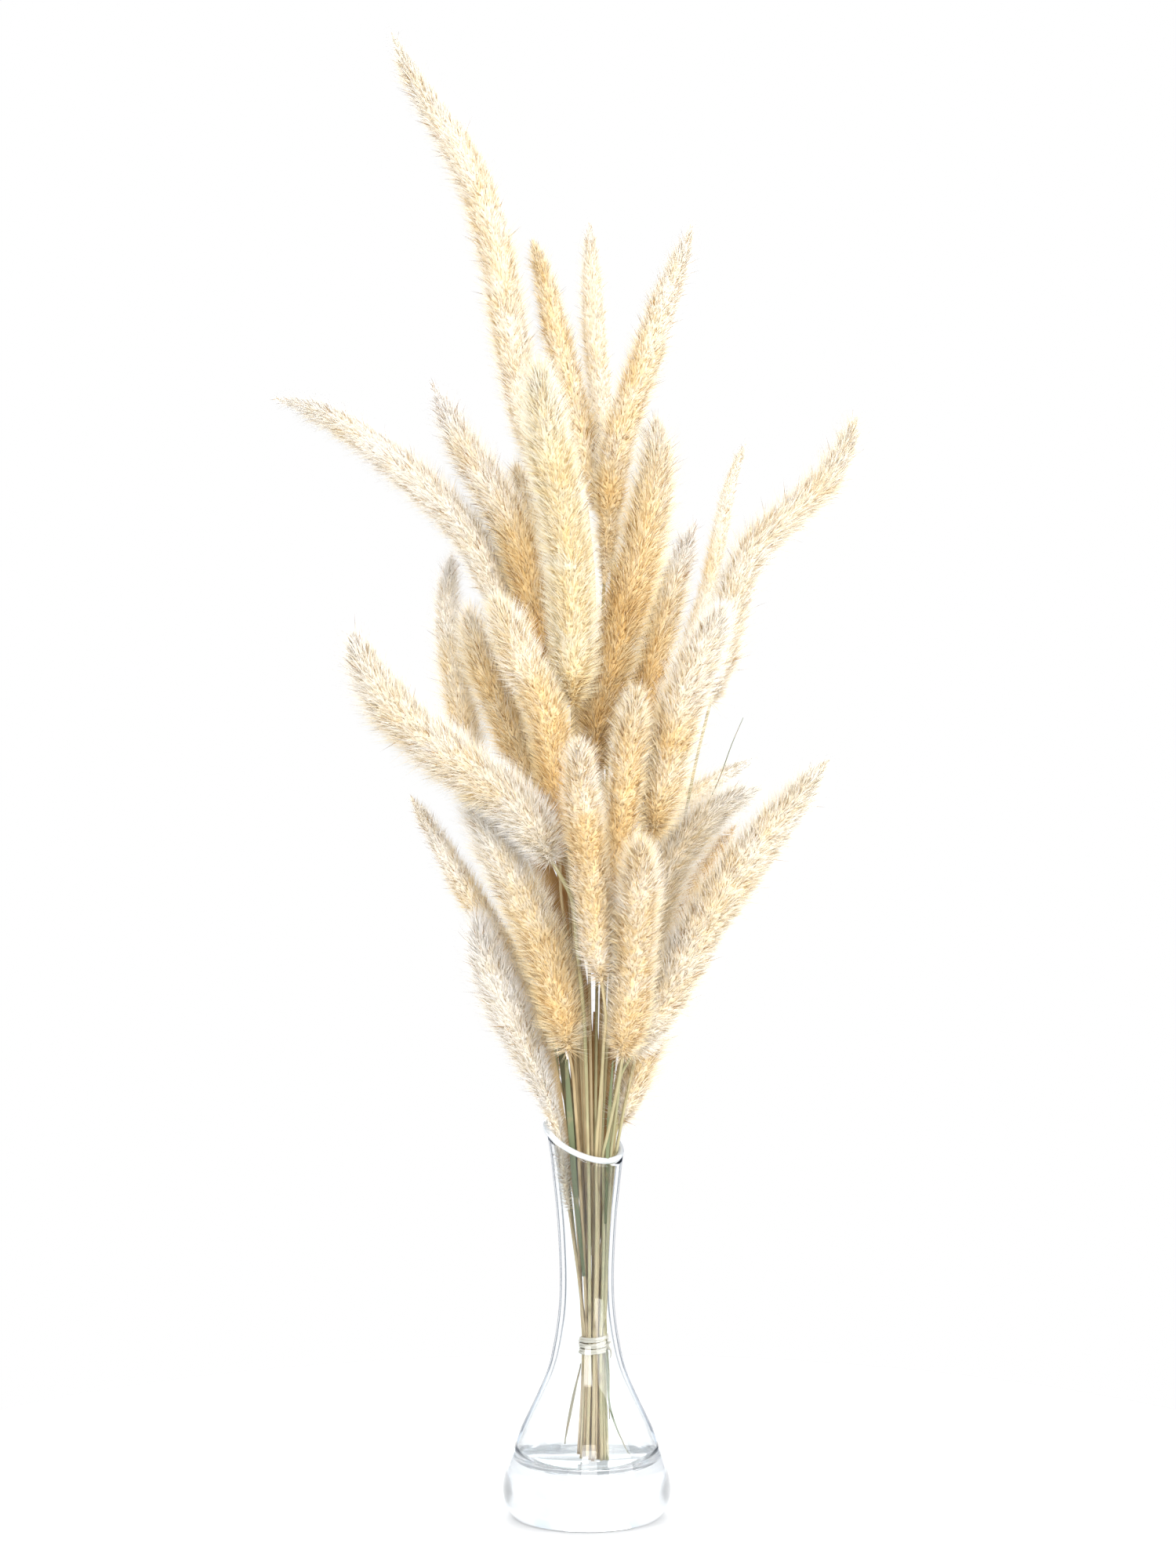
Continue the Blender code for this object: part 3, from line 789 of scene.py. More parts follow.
    def _direction(self, w: Wiring, given: Field, normal: Field, seed: Field) -> Field:
        """Outwards and swept towards the head's tip, in loose tufts."""
        out = w.scaled(normal, self._named(w, "rise"))
        way = w.vector("ADD", out, self._named(w, "along", "FLOAT_VECTOR"))
        tuft = self._patches(w, seed * 1.3 + 20.0, given.other("Tuft Scale"), 1.0, output=1)
        tuft = w.scaled(w.vector("SUBTRACT", tuft, (0.5, 0.5, 0.5)), given.other("Tousle"))
        stray = self._random(w, "FLOAT_VECTOR", (-1.0, -1.0, -1.0), (1.0, 1.0, 1.0), seed)
        way = w.vector("ADD", w.vector("ADD", way, tuft), w.scaled(stray, given.other("Stray")))
        return w.node("FunctionNodeAlignRotationToVector", {"axis": "Z"}, {"Vector": way})

    def _size(self, w: Wiring, given: Field, seed: Field, awned: Field) -> Field:
        """The thickness and length of each bristle. Those with an awn are stouter and shorter."""
        clump = w.noise(w.node("GeometryNodeInputPosition"), 140.0, 1.0)
        long = self._random(w, "FLOAT", 0.55, 1.15, seed + 1) * self._named(w, "fur") * (0.70 + 0.6 * clump)
        thick = self._random(w, "FLOAT", 0.6, 1.4, seed + 2) * given.other("Thickness") * (1.0 + 0.55 * awned)
        return w.node("ShaderNodeCombineXYZ", {}, {"X": thick, "Y": thick, "Z": long * (1.0 - 0.12 * awned)})

    def cover(self, core: bpy.types.Object, shade: float, awns: float, seed: int) -> None:
        """Covers a core with bristles, in place of its own mesh.

        Args:
            core: the bare core, which already wears its finish.
            shade: how pale its fur is, 0 to 1.
            awns: the share of bristles that end in a dark awn.
            seed: picks where the bristles stand.
        """
        modifier = core.modifiers.new("Bristles", "NODES")
        modifier.node_group = self.tree
        sizes = {
            "Density": self.density,
            "Thickness": self.thickness,
            "Tuft Scale": self.tuft_scale,
            "Tousle": self.tousle,
            "Stray": self.stray,
            "Patch Scale": self.patch_scale,
            "Shade": shade,
            "Awns": awns,
            "Seed": seed,
            "Finish": core.data.materials[0],
        }
        for name, value in sizes.items():
            modifier[self.sockets[name]] = value
        core.update_tag()
        graph = bpy.context.evaluated_depsgraph_get()
        mesh = bpy.data.meshes.new_from_object(core.evaluated_get(graph))
        bare = core.data
        core.modifiers.remove(modifier)
        core.data = mesh
        bpy.data.meshes.remove(bare)
        mesh.name = core.name


@dataclass
class SeedHead:
    """One long fuzzy seed head: a lumpy core under a coat of bristles.

    tones are its fur's at its base, middle and tip, awns the share of dark bristle ends, fluff how
    far the fur stands out against the usual, and base_fur how long it is at its base where glass
    presses it down. drop is how far its fur runs on down the stem. gilding is how much deeper its
    gold is painted where other heads crowd it: painted shade. The profiles give a share at
    places from the base, 0, to the tip, 1, with the run down the stem before 0. Fur stands closer
    where the core is thinner, up to closest times as close. seed is added to the head's number.
    """

    number: int
    tones: tuple[Tone, Tone, Tone]
    awns: float = 0.03
    fluff: float = 1.0
    fuzz: Fuzz = Fuzz.CREAM
    base_fur: float = 1.0
    drop: float = 0.0
    painted_shade: float = 0.10
    sides: int = 20
    ring_step: float = 0.0022
    core_share: float = 0.74
    fur_share: float = 1.52
    thinnest: float = 0.0006
    longest_fur: float = 0.0125
    lumpiness: float = 0.10
    mottling: float = 0.06
    drop_place: float = 0.10
    drop_share: float = 0.8
    drop_radius: float = 0.0013
    solid_corners: int = 8
    stem_tip: float = 0.0012
    tuck: float = 0.0005
    least_girth: float = 0.0008
    closest: float = 2.8
    seed: int = 40
    taper: Profile = ((0.0, 0.03, 0.12, 0.75, 0.93, 1.0), (0.35, 0.75, 1.0, 1.0, 0.7, 0.3))
    dropped_taper: Profile = ((-0.10, 0.0, 0.12, 0.75, 0.93, 1.0), (0.8, 0.9, 1.0, 1.0, 0.7, 0.3))
    rise: Profile = ((0.0, 0.06, 0.2, 0.75, 0.94, 1.0), (2.2, 1.5, 1.05, 0.95, 0.7, 0.42))
    least_fur: Profile = ((0.0, 0.6, 1.0), (0.8, 0.7, 0.5))

    @property
    def node(self) -> str:
        """The name of its solid."""
        return f"seed_head_{self.number:02d}"

    @property
    def stem(self) -> str:
        """The name of its stem's solid."""
        return f"stem_{self.number:02d}"

    def middle_line(self) -> Line:
        """Its solid's middle and radius from base to tip, finely spaced."""
        raw = corners_of(self.stem)
        base = raw[raw[:, 2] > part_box(self.stem)[1].z - self.stem_tip].mean(axis=0)
        rows = ring_line(sections(self.node, base, self.solid_corners))
        return smooth_line(rows, int(length_of(rows) / self.ring_step))

    def _down_the_stem(self, base_radius: float) -> Line:
        """The upper end of the stem, as far down as the fur runs, widening up to the head's own base."""
        rows = smooth_line(stem_line(self.stem)[1], 900)
        run = run_along(rows)
        wanted = np.linspace(run[-1] - self.drop, run[-1] - 0.001, int(self.drop / self.ring_step))
        rows = np.stack([np.interp(wanted, run, column) for column in rows.T], axis=1)
        rows[:, 3] = np.linspace(self.drop_radius, base_radius, len(rows))
        return rows

    def _with_drop(self, rows: Line, t: Line) -> tuple[Line, Line]:
        """The middle line and its places, led in by the run down the stem."""
        wide = self.drop_share * np.interp(self.drop_place, t, rows[:, 3])
        rows[:, 3] = np.where(t < self.drop_place, np.maximum(rows[:, 3], wide), rows[:, 3])
        lower = self._down_the_stem(wide)
        before = np.linspace(-self.drop_place, -0.01, len(lower))
        return np.concatenate([lower, rows]), np.concatenate([before, t])

    def _fur(self, t: Line, radii: Line, slim: Line) -> Line:
        """How long the fur is at each place."""
        reach = radii * (self.fur_share - self.core_share * slim)
        fur = reach / np.sin(np.arctan(np.interp(t, *self.rise))) * self.fluff
        least = fur.max() * np.interp(t, *self.least_fur)
        fur = np.minimum(np.maximum(fur, least), self.longest_fur)
        return fur * np.interp(t, (-0.10, 0.0, 0.30, 0.45), (0.4, self.base_fur, self.base_fur, 1.0))

    def core(self, others: list[Line]) -> bpy.types.Object:
        """The bare core among the other heads, with the numbers that the bristles follow."""
        rows = self.middle_line()
        t = np.linspace(0.0, 1.0, len(rows))
        if self.drop:
            rows, t = self._with_drop(rows, t)
        points, radii = rows[:, :3], np.maximum(rows[:, 3], self.thinnest)
        along, across, third = side_vectors(points)
        slim = np.interp(t, *(self.dropped_taper if self.drop else self.taper))
        rng = np.random.default_rng(self.seed + self.number)
        lump = 1.0 + self.lumpiness * rng.standard_normal((len(points), self.sides)).clip(-1.5, 1.5)
        points[0] -= along[0] * self.tuck
        place = tube(points, across, third, (radii * slim * self.core_share)[:, None] * lump)
        made = build(self.node + "_fuzzy", place, sweep_faces(len(points), self.sides), self.fuzz.value)
        shades = [tone.value for tone in self.tones]
        lift = np.repeat(np.interp(t, (0.0, 0.5, 1.0), shades) - shades[1], self.sides)
        # Painted shade: the fur is painted deeper gold where other heads crowd this one.
        lift = lift - self.painted_shade * painted_shade_mask(place, others)
        mottled = rng.standard_normal(len(place)).clip(-2.0, 2.0)
        girth = radii * slim
        numbers = {
            "along": along,
            "rise": np.interp(t, *self.rise),
            "fur": self._fur(t, radii, slim),
            "crowd": np.clip(girth.max() / np.maximum(girth, self.least_girth), 1.0, self.closest),
            "reach": np.zeros(len(t)),
        }
        for name, values in numbers.items():
            write_attribute(made, name, np.repeat(values, self.sides, axis=0))
        write_attribute(made, "lift", lift + self.mottling * mottled)
        return made

    def make(self, bristles: Bristles, others: list[Line]) -> None:
        """Builds the head among the others and stands it for its solid."""
        made = self.core(others)
        bristles.cover(made, self.tones[1].value, self.awns, self.number)
        settle_on(made, self.node)


# --- stems and leaves


@dataclass
class Stalk:
    """One dry ribbed stalk with swollen joints, from its cut foot to its head.

    hue picks its colour, which drifts a little along it in slow waves. The stalks are not all cut to
    the same length: those to the right of the vase's axis are longer. The first joint stands at
    least first_joint up, and the last at least last_joint short of the head.
    """

    number: int
    hue: float
    sides: int = 8
    ring_step: float = 0.004
    joint_gap: float = 0.088
    first_joint: float = 0.03
    last_joint: float = 0.02
    joint_reach: float = 0.0022
    swelling: float = 0.10
    ribs: int = 5
    rib_depth: float = 0.05
    foot_share: float = 0.98
    taper: float = 0.12
    usual_trim: float = 0.0028
    slant: float = 0.45
    uneven_trim: float = 0.0038
    longest_trim: float = 0.0085
    drift: float = 0.12
    drift_waves: float = 5.0
    seed: int = 200

    @property
    def node(self) -> str:
        """The name of its solid."""
        return f"stem_{self.number:02d}"

    def make(self) -> None:
        """Builds the stalk and stands it for its solid."""
        foot, rows = stem_line(self.node)
        length = length_of(rows)
        count = int(length / self.ring_step)
        rng = np.random.default_rng(self.seed + self.number)
        trim = self.usual_trim - self.slant * foot[0] + rng.uniform(-self.uneven_trim, self.uneven_trim)
        rows = smooth_line(rows, count * 4)
        rows = smooth_line(rows[run_along(rows) >= np.clip(trim, 0.0, self.longest_trim)], count)
        points, radii = rows[:, :3], rows[:, 3]
        _, across, third = side_vectors(points)
        run = np.linspace(0.0, length, count)
        joint = np.zeros(count)
        first = rng.uniform(self.first_joint, self.joint_gap)
        for spot in np.arange(first, length - self.last_joint, self.joint_gap):
            joint = np.maximum(joint, np.exp(-(((run - spot) / self.joint_reach) ** 2)))
        radius = radii * (self.foot_share - self.taper * run / length + self.swelling * joint)
        turn = circle(self.sides)
        rib = 1.0 + self.rib_depth * np.cos(self.ribs * turn)
        place = tube(points, across, third, radius[:, None] * rib[None])
        made = build(self.node + "_stalk", place, sweep_faces(count, self.sides), DRY_STRAW)
        hue = self.hue + self.drift * np.sin(run / length * self.drift_waves + rng.uniform(0.0, 6.0))
        write_attribute(made, "hue", np.repeat(hue, self.sides))
        write_attribute(made, "joint", np.repeat(joint, self.sides))
        flat = [np.repeat(run, self.sides) / length, np.tile(turn / FULL_TURN, count)]
        write_map(made, 0.02 + 0.96 * np.stack(flat, axis=1))
        settle_on(made, self.node)


@dataclass
class Blade:
    """A flat blade along a line, a little folded along its middle."""

    name: str
    finish: LeafFinish
    half_width: tuple[float, ...]
    twist: tuple[float, float] = (0.0, 0.0)
    fold: float = 0.25
    thickness: float = 0.00028
    edge_thinning: float = 0.75
    stations: int = 9
    map_margin: float = 0.02
    end_gap: float = 0.0003

    def make(self, points: Line, flat: Line, node: str | None = None) -> None:
        """Builds the blade.

        Args:
            points: its middle line.
            flat: the direction across its start.
            node: the solid that it stands for, if any.
        """
        count, sides = len(points), 2 * self.stations
        _, across, out = side_vectors(points, flat)
        turn = np.linspace(*self.twist, count)[:, None]
        across, out = np.cos(turn) * across + np.sin(turn) * out, np.cos(turn) * out - np.sin(turn) * across
        s = np.linspace(-1.0, 1.0, self.stations)
        knots = np.linspace(0, 1, len(self.half_width))
        width = np.interp(np.linspace(0, 1, count), knots, self.half_width)
        rise = self.fold * (np.abs(s) ** 1.5)
        thick = self.thickness * (1.0 - self.edge_thinning * np.abs(s) ** 3)
        rings = []
        for side in (1.0, -1.0):
            offset = across[:, None] * (s * side)[None, :, None] * width[:, None, None]
            lift = (rise[None] * width[:, None] + 0.5 * side * thick[None])[..., None] * out[:, None]
            rings.append(points[:, None] + offset + lift)
        place = np.concatenate(rings, axis=1).reshape(-1, 3)
        made = build(self.name, place, sweep_faces(count, sides), self.finish)
        write_attribute(made, "across", np.tile(np.concatenate([s, -s]) * 0.5 + 0.5, count))
        ends = (self.map_margin, 1.0 - self.map_margin)
        lengthwise, round_it = np.linspace(*ends, count), np.linspace(*ends, sides)
        write_map(made, np.stack([np.repeat(lengthwise, sides), np.tile(round_it, count)], axis=1))
        settle_on(made, node)

    def stand_for(self, node: str, cuts: int = 12, count: int = 48, margin: float = 0.0015) -> None:
        """Builds the blade along the strip's solid of this name, from its foot up.

        Args:
            node: the solid's name.
            cuts: how many level cuts find its middle line.
            count: how many places the blade's line has.
            margin: how far from its ends the first and last cuts are.
        """
        low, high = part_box(node)
        middles, ways = [], []
        for height in np.linspace(low.z + margin, high.z - margin, cuts):
            cut = self._cut(node, height)
            middles.append(0.5 * (cut.min(axis=0) + cut.max(axis=0)))
            ways.append(np.linalg.svd(cut - cut.mean(axis=0), full_matrices=False)[2][0])
        line = smooth_line(np.array(middles), count)
        line[0, 2] = low.z + self.end_gap
        line[-1, 2] = high.z - self.end_gap
        self.make(line, ways[0], node)

    @staticmethod
    def _cut(node: str, height: float) -> Line:
        """Where the solid's edges cross a level plane."""
        raw = corners_of(node)
        found = []
        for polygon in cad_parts[node].data.polygons:
            ids = list(polygon.vertices)
            for a, b in zip(ids, ids[1:] + ids[:1]):
                p, q = raw[a], raw[b]
                if (p[2] - height) * (q[2] - height) < 0.0:
                    found.append(p + (q - p) * (height - p[2]) / (q[2] - p[2]))
        return np.array(found)


# --- tie

Strand = tuple[Line, Line, list]


@dataclass
class RaffiaTie:
    """Flat raffia strands wound round the stems, with a small knot at the right."""

    node: str = "twine_tie"
    strands: int = 3
    strand_half_width: float = 0.00050
    strand_half_thickness: float = 0.00030
    strand_gap: float = 0.00088
    corners: int = 10
    solid_corners: int = 10
    steps: int = 250
    knot_steps: int = 60
    tail_steps: int = 24
    seed: int = 7
    knot_inset: float = 0.0004
    knot_depth: float = -0.0030
    knot_height: float = 0.0838

    def _ribbon(self, path: Line, out: Line, width: Line, thick: float) -> Strand:
        """One flat strand along a path.

        Args:
            path: its middle line.
            out: which way its flat side faces, at each place.
            width: half its width, at each place.
            thick: half its thickness.

        Returns:
            Its points, how far across it each is, and its faces.
        """
        along = unit(np.gradient(path, axis=0))
        face = unit(out - along * (out * along).sum(axis=1, keepdims=True))
        side = np.cross(face, along)
        turn = circle(self.corners)
        ring = side[:, None] * (np.cos(turn)[None, :, None] * width[:, None, None])
        ring = ring + face[:, None] * (np.sin(turn)[None, :, None] * thick)
        place = (path[:, None] + ring).reshape(-1, 3)
        across = np.tile(np.cos(turn) * 0.5 + 0.5, len(path))
        return place, across, sweep_faces(len(path), self.corners)

    def make(self) -> None:
        """Builds all strands and the knot as one piece."""
        low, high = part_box(self.node)
        start = np.array([high.x - 0.0005, 0.0, low.z + 0.0013])
        path = smooth_line(ring_line(sections(self.node, start, self.solid_corners))[:, :3], self.steps)
        centre = np.array([0.5 * (low.x + high.x), 0.0, 0.0])
        out = unit((path - centre) * (1.0, 1.0, 0.0))
        rng = np.random.default_rng(self.seed)
        t = np.linspace(0.0, 1.0, self.steps)
        parts = []
        for i in range(self.strands):
            phase = rng.uniform(0.0, 6.28, 3)
            level = (i - (self.strands - 1) / 2) * self.strand_gap
            wander = 0.00022 * np.sin(19.0 * t + phase[0]) + 0.00010 * np.sin(53.0 * t + phase[1])
            bulge = 0.00012 + 0.00028 * np.cos(i * 2.1 + 31.0 * t + phase[2])
            line = path + out * bulge[:, None] + np.array([0.0, 0.0, 1.0]) * (level + wander)[:, None]
            width = self.strand_half_width * (1.0 + 0.18 * np.sin(45.0 * t + phase[1]))
            parts.append(self._ribbon(line, out, width, self.strand_half_thickness))
        self._join(parts + self._knot(high))

    def _knot(self, high: Vector) -> list[Strand]:
        """A small overhand knot on the right, with two short tails."""
        middle = np.array([high.x - self.knot_inset, self.knot_depth, self.knot_height])
        t = np.linspace(0.0, FULL_TURN, self.knot_steps)
        loop = np.stack([0.0008 * np.cos(2 * t), 0.0011 * np.sin(t), 0.0019 * np.cos(t)], axis=1) + middle
        out = unit(loop - middle + 1e-6)
        parts = [self._ribbon(loop[:-1], out[:-1], np.full(self.knot_steps - 1, 0.0006), 0.00025)]
        for drop, lean in ((-0.0062, 0.0012), (-0.0048, -0.0022)):
            s = np.linspace(0.0, 1.0, self.tail_steps)[:, None]
            bow = np.sin(3.0 * s) * np.array([0.0006, 0.0, 0.0])
            tail = middle + s * np.array([0.0010, lean, drop]) + bow
            way = np.tile([0.9, -0.4, 0.1], (self.tail_steps, 1))
            width = np.linspace(0.00055, 0.0003, self.tail_steps)
            parts.append(self._ribbon(tail, way, width, 0.0002))
        return parts

    def _join(self, parts: list[Strand]) -> None:
        """Makes one piece of the strands and stands it for the tie's solid."""
        faces, offset = [], 0
        for place, _, own in parts:
            faces += [tuple(i + offset for i in face) for face in own]
            offset += len(place)
        made = build("raffia_tie", np.concatenate([place for place, _, _ in parts]), faces, RAFFIA)
        write_attribute(made, "across", np.concatenate([across for _, across, _ in parts]))
        settle_on(made, self.node)


# --- vase


@dataclass
class GlassVase:
    """The blown vase: thick foot, wide low body, narrow neck, and a mouth cut on a slant.

    outer holds the heights of its outside with their radii, and inner those of the cavity's lower
    end. From wall_from up, the glass is as thick as wall says. foot and floor are the radii and
    heights of its underside and of the cavity's floor.
    """

    node: str = "vase"
    segments: int = 96
    outer: tuple = (
        (0.0008, 0.0362), (0.0045, 0.0392), (0.0095, 0.0408), (0.0145, 0.0412), (0.0200, 0.0404),
        (0.0255, 0.0386), (0.0320, 0.0362), (0.0395, 0.0339), (0.0470, 0.0305), (0.0585, 0.0249),
        (0.0700, 0.0199), (0.0780, 0.0175), (0.0880, 0.0155), (0.1020, 0.0137), (0.1170, 0.0132),
        (0.1300, 0.0136), (0.1480, 0.0147), (0.1625, 0.0162), (0.1790, 0.0181), (0.1930, 0.0204),
        (0.2060, 0.0229),
    )
    inner: tuple = ((0.0247, 0.0275), (0.0268, 0.0313), (0.0300, 0.0337), (0.0335, 0.0339))
    wall: float = 0.0021
    wall_from: float = 0.0390
    outer_rings: int = 76
    inner_rings: int = 64
    foot: tuple = ((0.012, 0.0), (0.024, 0.0), (0.0332, 0.0), (0.0346, 0.0001))
    floor: tuple = ((0.0230, 0.0240), (0.016, 0.0240), (0.008, 0.0240))
    floor_margin: float = 0.0005
    mouth_height: float = 0.1855
    mouth_slope: tuple[float, float] = (-0.35, 0.38)
    bend_from: float = 0.150
    rim_steps: int = 12
    bead: float = 0.00155

    @staticmethod
    def _profile(rows: tuple, count: int) -> Line:
        """A smooth profile of radius and height through rows of height and radius."""
        return smooth_line(np.array([[r, 0.0, z] for z, r in rows]), count)[:, [0, 2]]

    def make(self) -> None:
        """Builds the vase and stands it for its solid."""
        outer = self._profile(self.outer, self.outer_rings)
        wall = tuple((z, r - self.wall) for z, r in self.outer if z > self.wall_from)
        inner = self._profile(self.inner + wall, self.inner_rings)
        columns = [self._column(outer, inner, angle) for angle in circle(self.segments)]
        rings, sides = len(columns[0]), self.segments
        place = np.stack(columns, axis=1).reshape(-1, 3)
        faces = sweep_faces(rings, sides, closed_ends=False)
        bottom, top, last = len(place), len(place) + 1, (rings - 1) * sides
        cavity_floor = self.floor[0][1]
        place = np.concatenate([place, [[0.0, 0.0, 0.0], [0.0, 0.0, cavity_floor]]])
        for j in range(sides):
            k = (j + 1) % sides
            faces += [(bottom, k, j), (top, last + j, last + k)]
        made = build("vase_glass", place, faces, GLASS)
        for glass in (RIM_PAINTED_LIGHT_GLASS, FOOT_GLASS):
            made.data.materials.append(glass.material())
        # The rim's faces take the partly milky glass, painted light for the light its bead gathers.
        rim = (len(self.foot) + self.outer_rings - 2) * sides
        for polygon in made.data.polygons[rim:rim + self.rim_steps * sides]:
            polygon.material_index = 1
        for polygon in made.data.polygons:
            if polygon.center.z < cavity_floor - self.floor_margin:
                polygon.material_index = 2
        settle_on(made, self.node)

    def _column(self, outer: Line, inner: Line, angle: float) -> Line:
        """One upright line of points, from under the foot, over the rim, to the cavity's floor."""
        way = np.array([math.cos(angle), math.sin(angle)])
        slope = np.dot(self.mouth_slope, way)
        outside = self._cut_off(outer, slope)
        inside = self._cut_off(inner, slope)
        rim = self._rim(outside[-1], inside[-1], slope)
        rows = np.concatenate([self.foot, outside[:-2], rim, inside[:-2][::-1], self.floor])
        return np.stack([rows[:, 0] * way[0], rows[:, 0] * way[1], rows[:, 1]], axis=1)

    def _cut_off(self, profile: Line, slope: float) -> Line:
        """A side's profile with its upper part drawn in or out to end in the mouth's plane."""
        radius, height = profile[:, 0], profile[:, 1]
        end = np.interp(0.0, height - self.mouth_height - slope * radius, height)
        drawn = (height - self.bend_from) * (end - self.bend_from) / (height[-1] - self.bend_from)
        wanted = np.where(height < self.bend_from, height, self.bend_from + drawn)
        return np.stack([np.interp(wanted, height, radius), wanted], axis=1)

    def _rim(self, outside: Line, inside: Line, slope: float) -> Line:
        """A round bead from the outer to the inner wall, ending just under the mouth's plane."""
        middle = 0.5 * (outside + inside)
        half = np.linalg.norm(0.5 * (outside - inside))
        side = 0.5 * (outside - inside) / half
        normal = np.array([-slope, 1.0]) / math.hypot(slope, 1.0)
        begin = -math.acos(min(half / self.bead, 1.0))
        turn = np.linspace(begin, math.pi - begin, self.rim_steps + 1)[:, None]
        return middle + self.bead * (np.cos(turn) * side + (np.sin(turn) - 1.0) * normal)


# --- studio


@dataclass
class Studio:
    """A pale floor, soft light all round and the camera of the front view.

    Each of the lamps is a name, a place, the length of its sides and its power.
    """

    lens: float = 70.13
    floor_radius: float = 0.42
    floor_sides: int = 96
    sky: float = 1.45
    strips: float = 8.0
    aim: tuple[float, float, float] = (0.0, 0.0, 0.35)
    lamps: tuple = (
        ("key_lamp", (-0.9, -1.6, 1.7), 1.4, 9.0),
        ("front_lamp", (0.15, -2.3, 1.0), 1.0, 20.0),
        ("right_lamp", (1.6, -1.1, 0.6), 1.4, 22.0),
        ("back_lamp", (-0.2, 2.0, 1.1), 1.2, 26.0),
    )

    def make(self) -> None:
        """Builds the floor, the light and the camera."""
        self._floor()
        self._light()
        for lamp in self.lamps:
            self._lamp(*lamp)
        self._camera()

    def _floor(self) -> None:
        """A round flat floor just under the vase."""
        turn = circle(self.floor_sides)
        edge = np.stack([np.cos(turn), np.sin(turn)], axis=1) * self.floor_radius
        corners = np.concatenate([edge, np.full((self.floor_sides, 1), -0.0002)], axis=1)
        build("pale_floor", corners, [tuple(range(self.floor_sides))], PAPER, smooth=False)

    def _light(self) -> None:
        """Soft white all round, with upright grey strips that draw the glass's edges."""
        world = bpy.data.worlds.new("studio")
        bpy.context.scene.world = world
        world.use_nodes = True
        world.node_tree.nodes.clear()
        w = Wiring(world.node_tree)
        way = w.node("ShaderNodeTexCoord", output="Generated")
        parts = w.node("ShaderNodeSeparateXYZ", {}, {0: way}, "X")
        up = parts.other("Z")
        turned = w.maths("ARCTAN2", parts, parts.other("Y"))
        strip = 1.0 - w.step(w.maths("COSINE", turned * self.strips), -0.98, -0.50)
        low = w.mix(strip, (1.26, 1.26, 1.26, 1.0), (0.16, 0.18, 0.23, 1.0))
        high = w.mix(strip, (1.26, 1.26, 1.26, 1.0), (0.95, 1.06, 1.18, 1.0))
        seen_through = w.mix(w.step(up, -0.055, -0.02), low, high)
        mirrored = w.mix(w.step(up, 0.5, 0.8), (0.24, 0.28, 0.36, 1.0), (1.1, 1.1, 1.1, 1.0))
        path = w.node("ShaderNodeLightPath", output="Is Glossy Ray")
        first = w.maths("LESS_THAN", path.other("Diffuse Depth"), 0.5)
        colour = w.mix(path * first, (self.sky, self.sky, self.sky, 1.0), mirrored)
        colour = w.mix(path.other("Is Transmission Ray") * first, colour, seen_through)
        colour = w.mix(path.other("Is Camera Ray"), colour, (1.0, 1.0, 1.0, 1.0))
        glow = w.node("ShaderNodeBackground", {}, {"Color": colour, "Strength": 1.0})
        w.node("ShaderNodeOutputWorld", {}, {"Surface": glow})

    def _lamp(self, name: str, place: tuple, size: float, power: float) -> None:
        """A square soft lamp that looks at the middle of the bunch."""
        data = bpy.data.lights.new(name, "AREA")
        data.shape = "SQUARE"
        data.size = size
        data.energy = power
        lamp = bpy.data.objects.new(name, data)
        lamp.location = place
        aim = Vector(self.aim) - Vector(place)
        lamp.rotation_euler = aim.to_track_quat("-Z", "Y").to_euler()
        bpy.context.scene.collection.objects.link(lamp)

    def _camera(self) -> None:
        """A level camera in front of the middle of the bunch."""
        data = bpy.data.cameras.new("front_view")
        data.lens = self.lens
        data.sensor_width = 36.0
        data.clip_start = 0.05
        data.clip_end = 60.0
        camera = bpy.data.objects.new("front_view", data)
        camera.location = EYE
        camera.rotation_euler = (math.pi / 2, 0.0, 0.0)
        bpy.context.scene.collection.objects.link(camera)
        bpy.context.scene.camera = camera
        bpy.context.scene.view_settings.view_transform = "Standard"


# --- the bunch

UMBER, BROWN, GOLD, STRAW, BUFF, CREAM, WHITE, SNOW = Tone

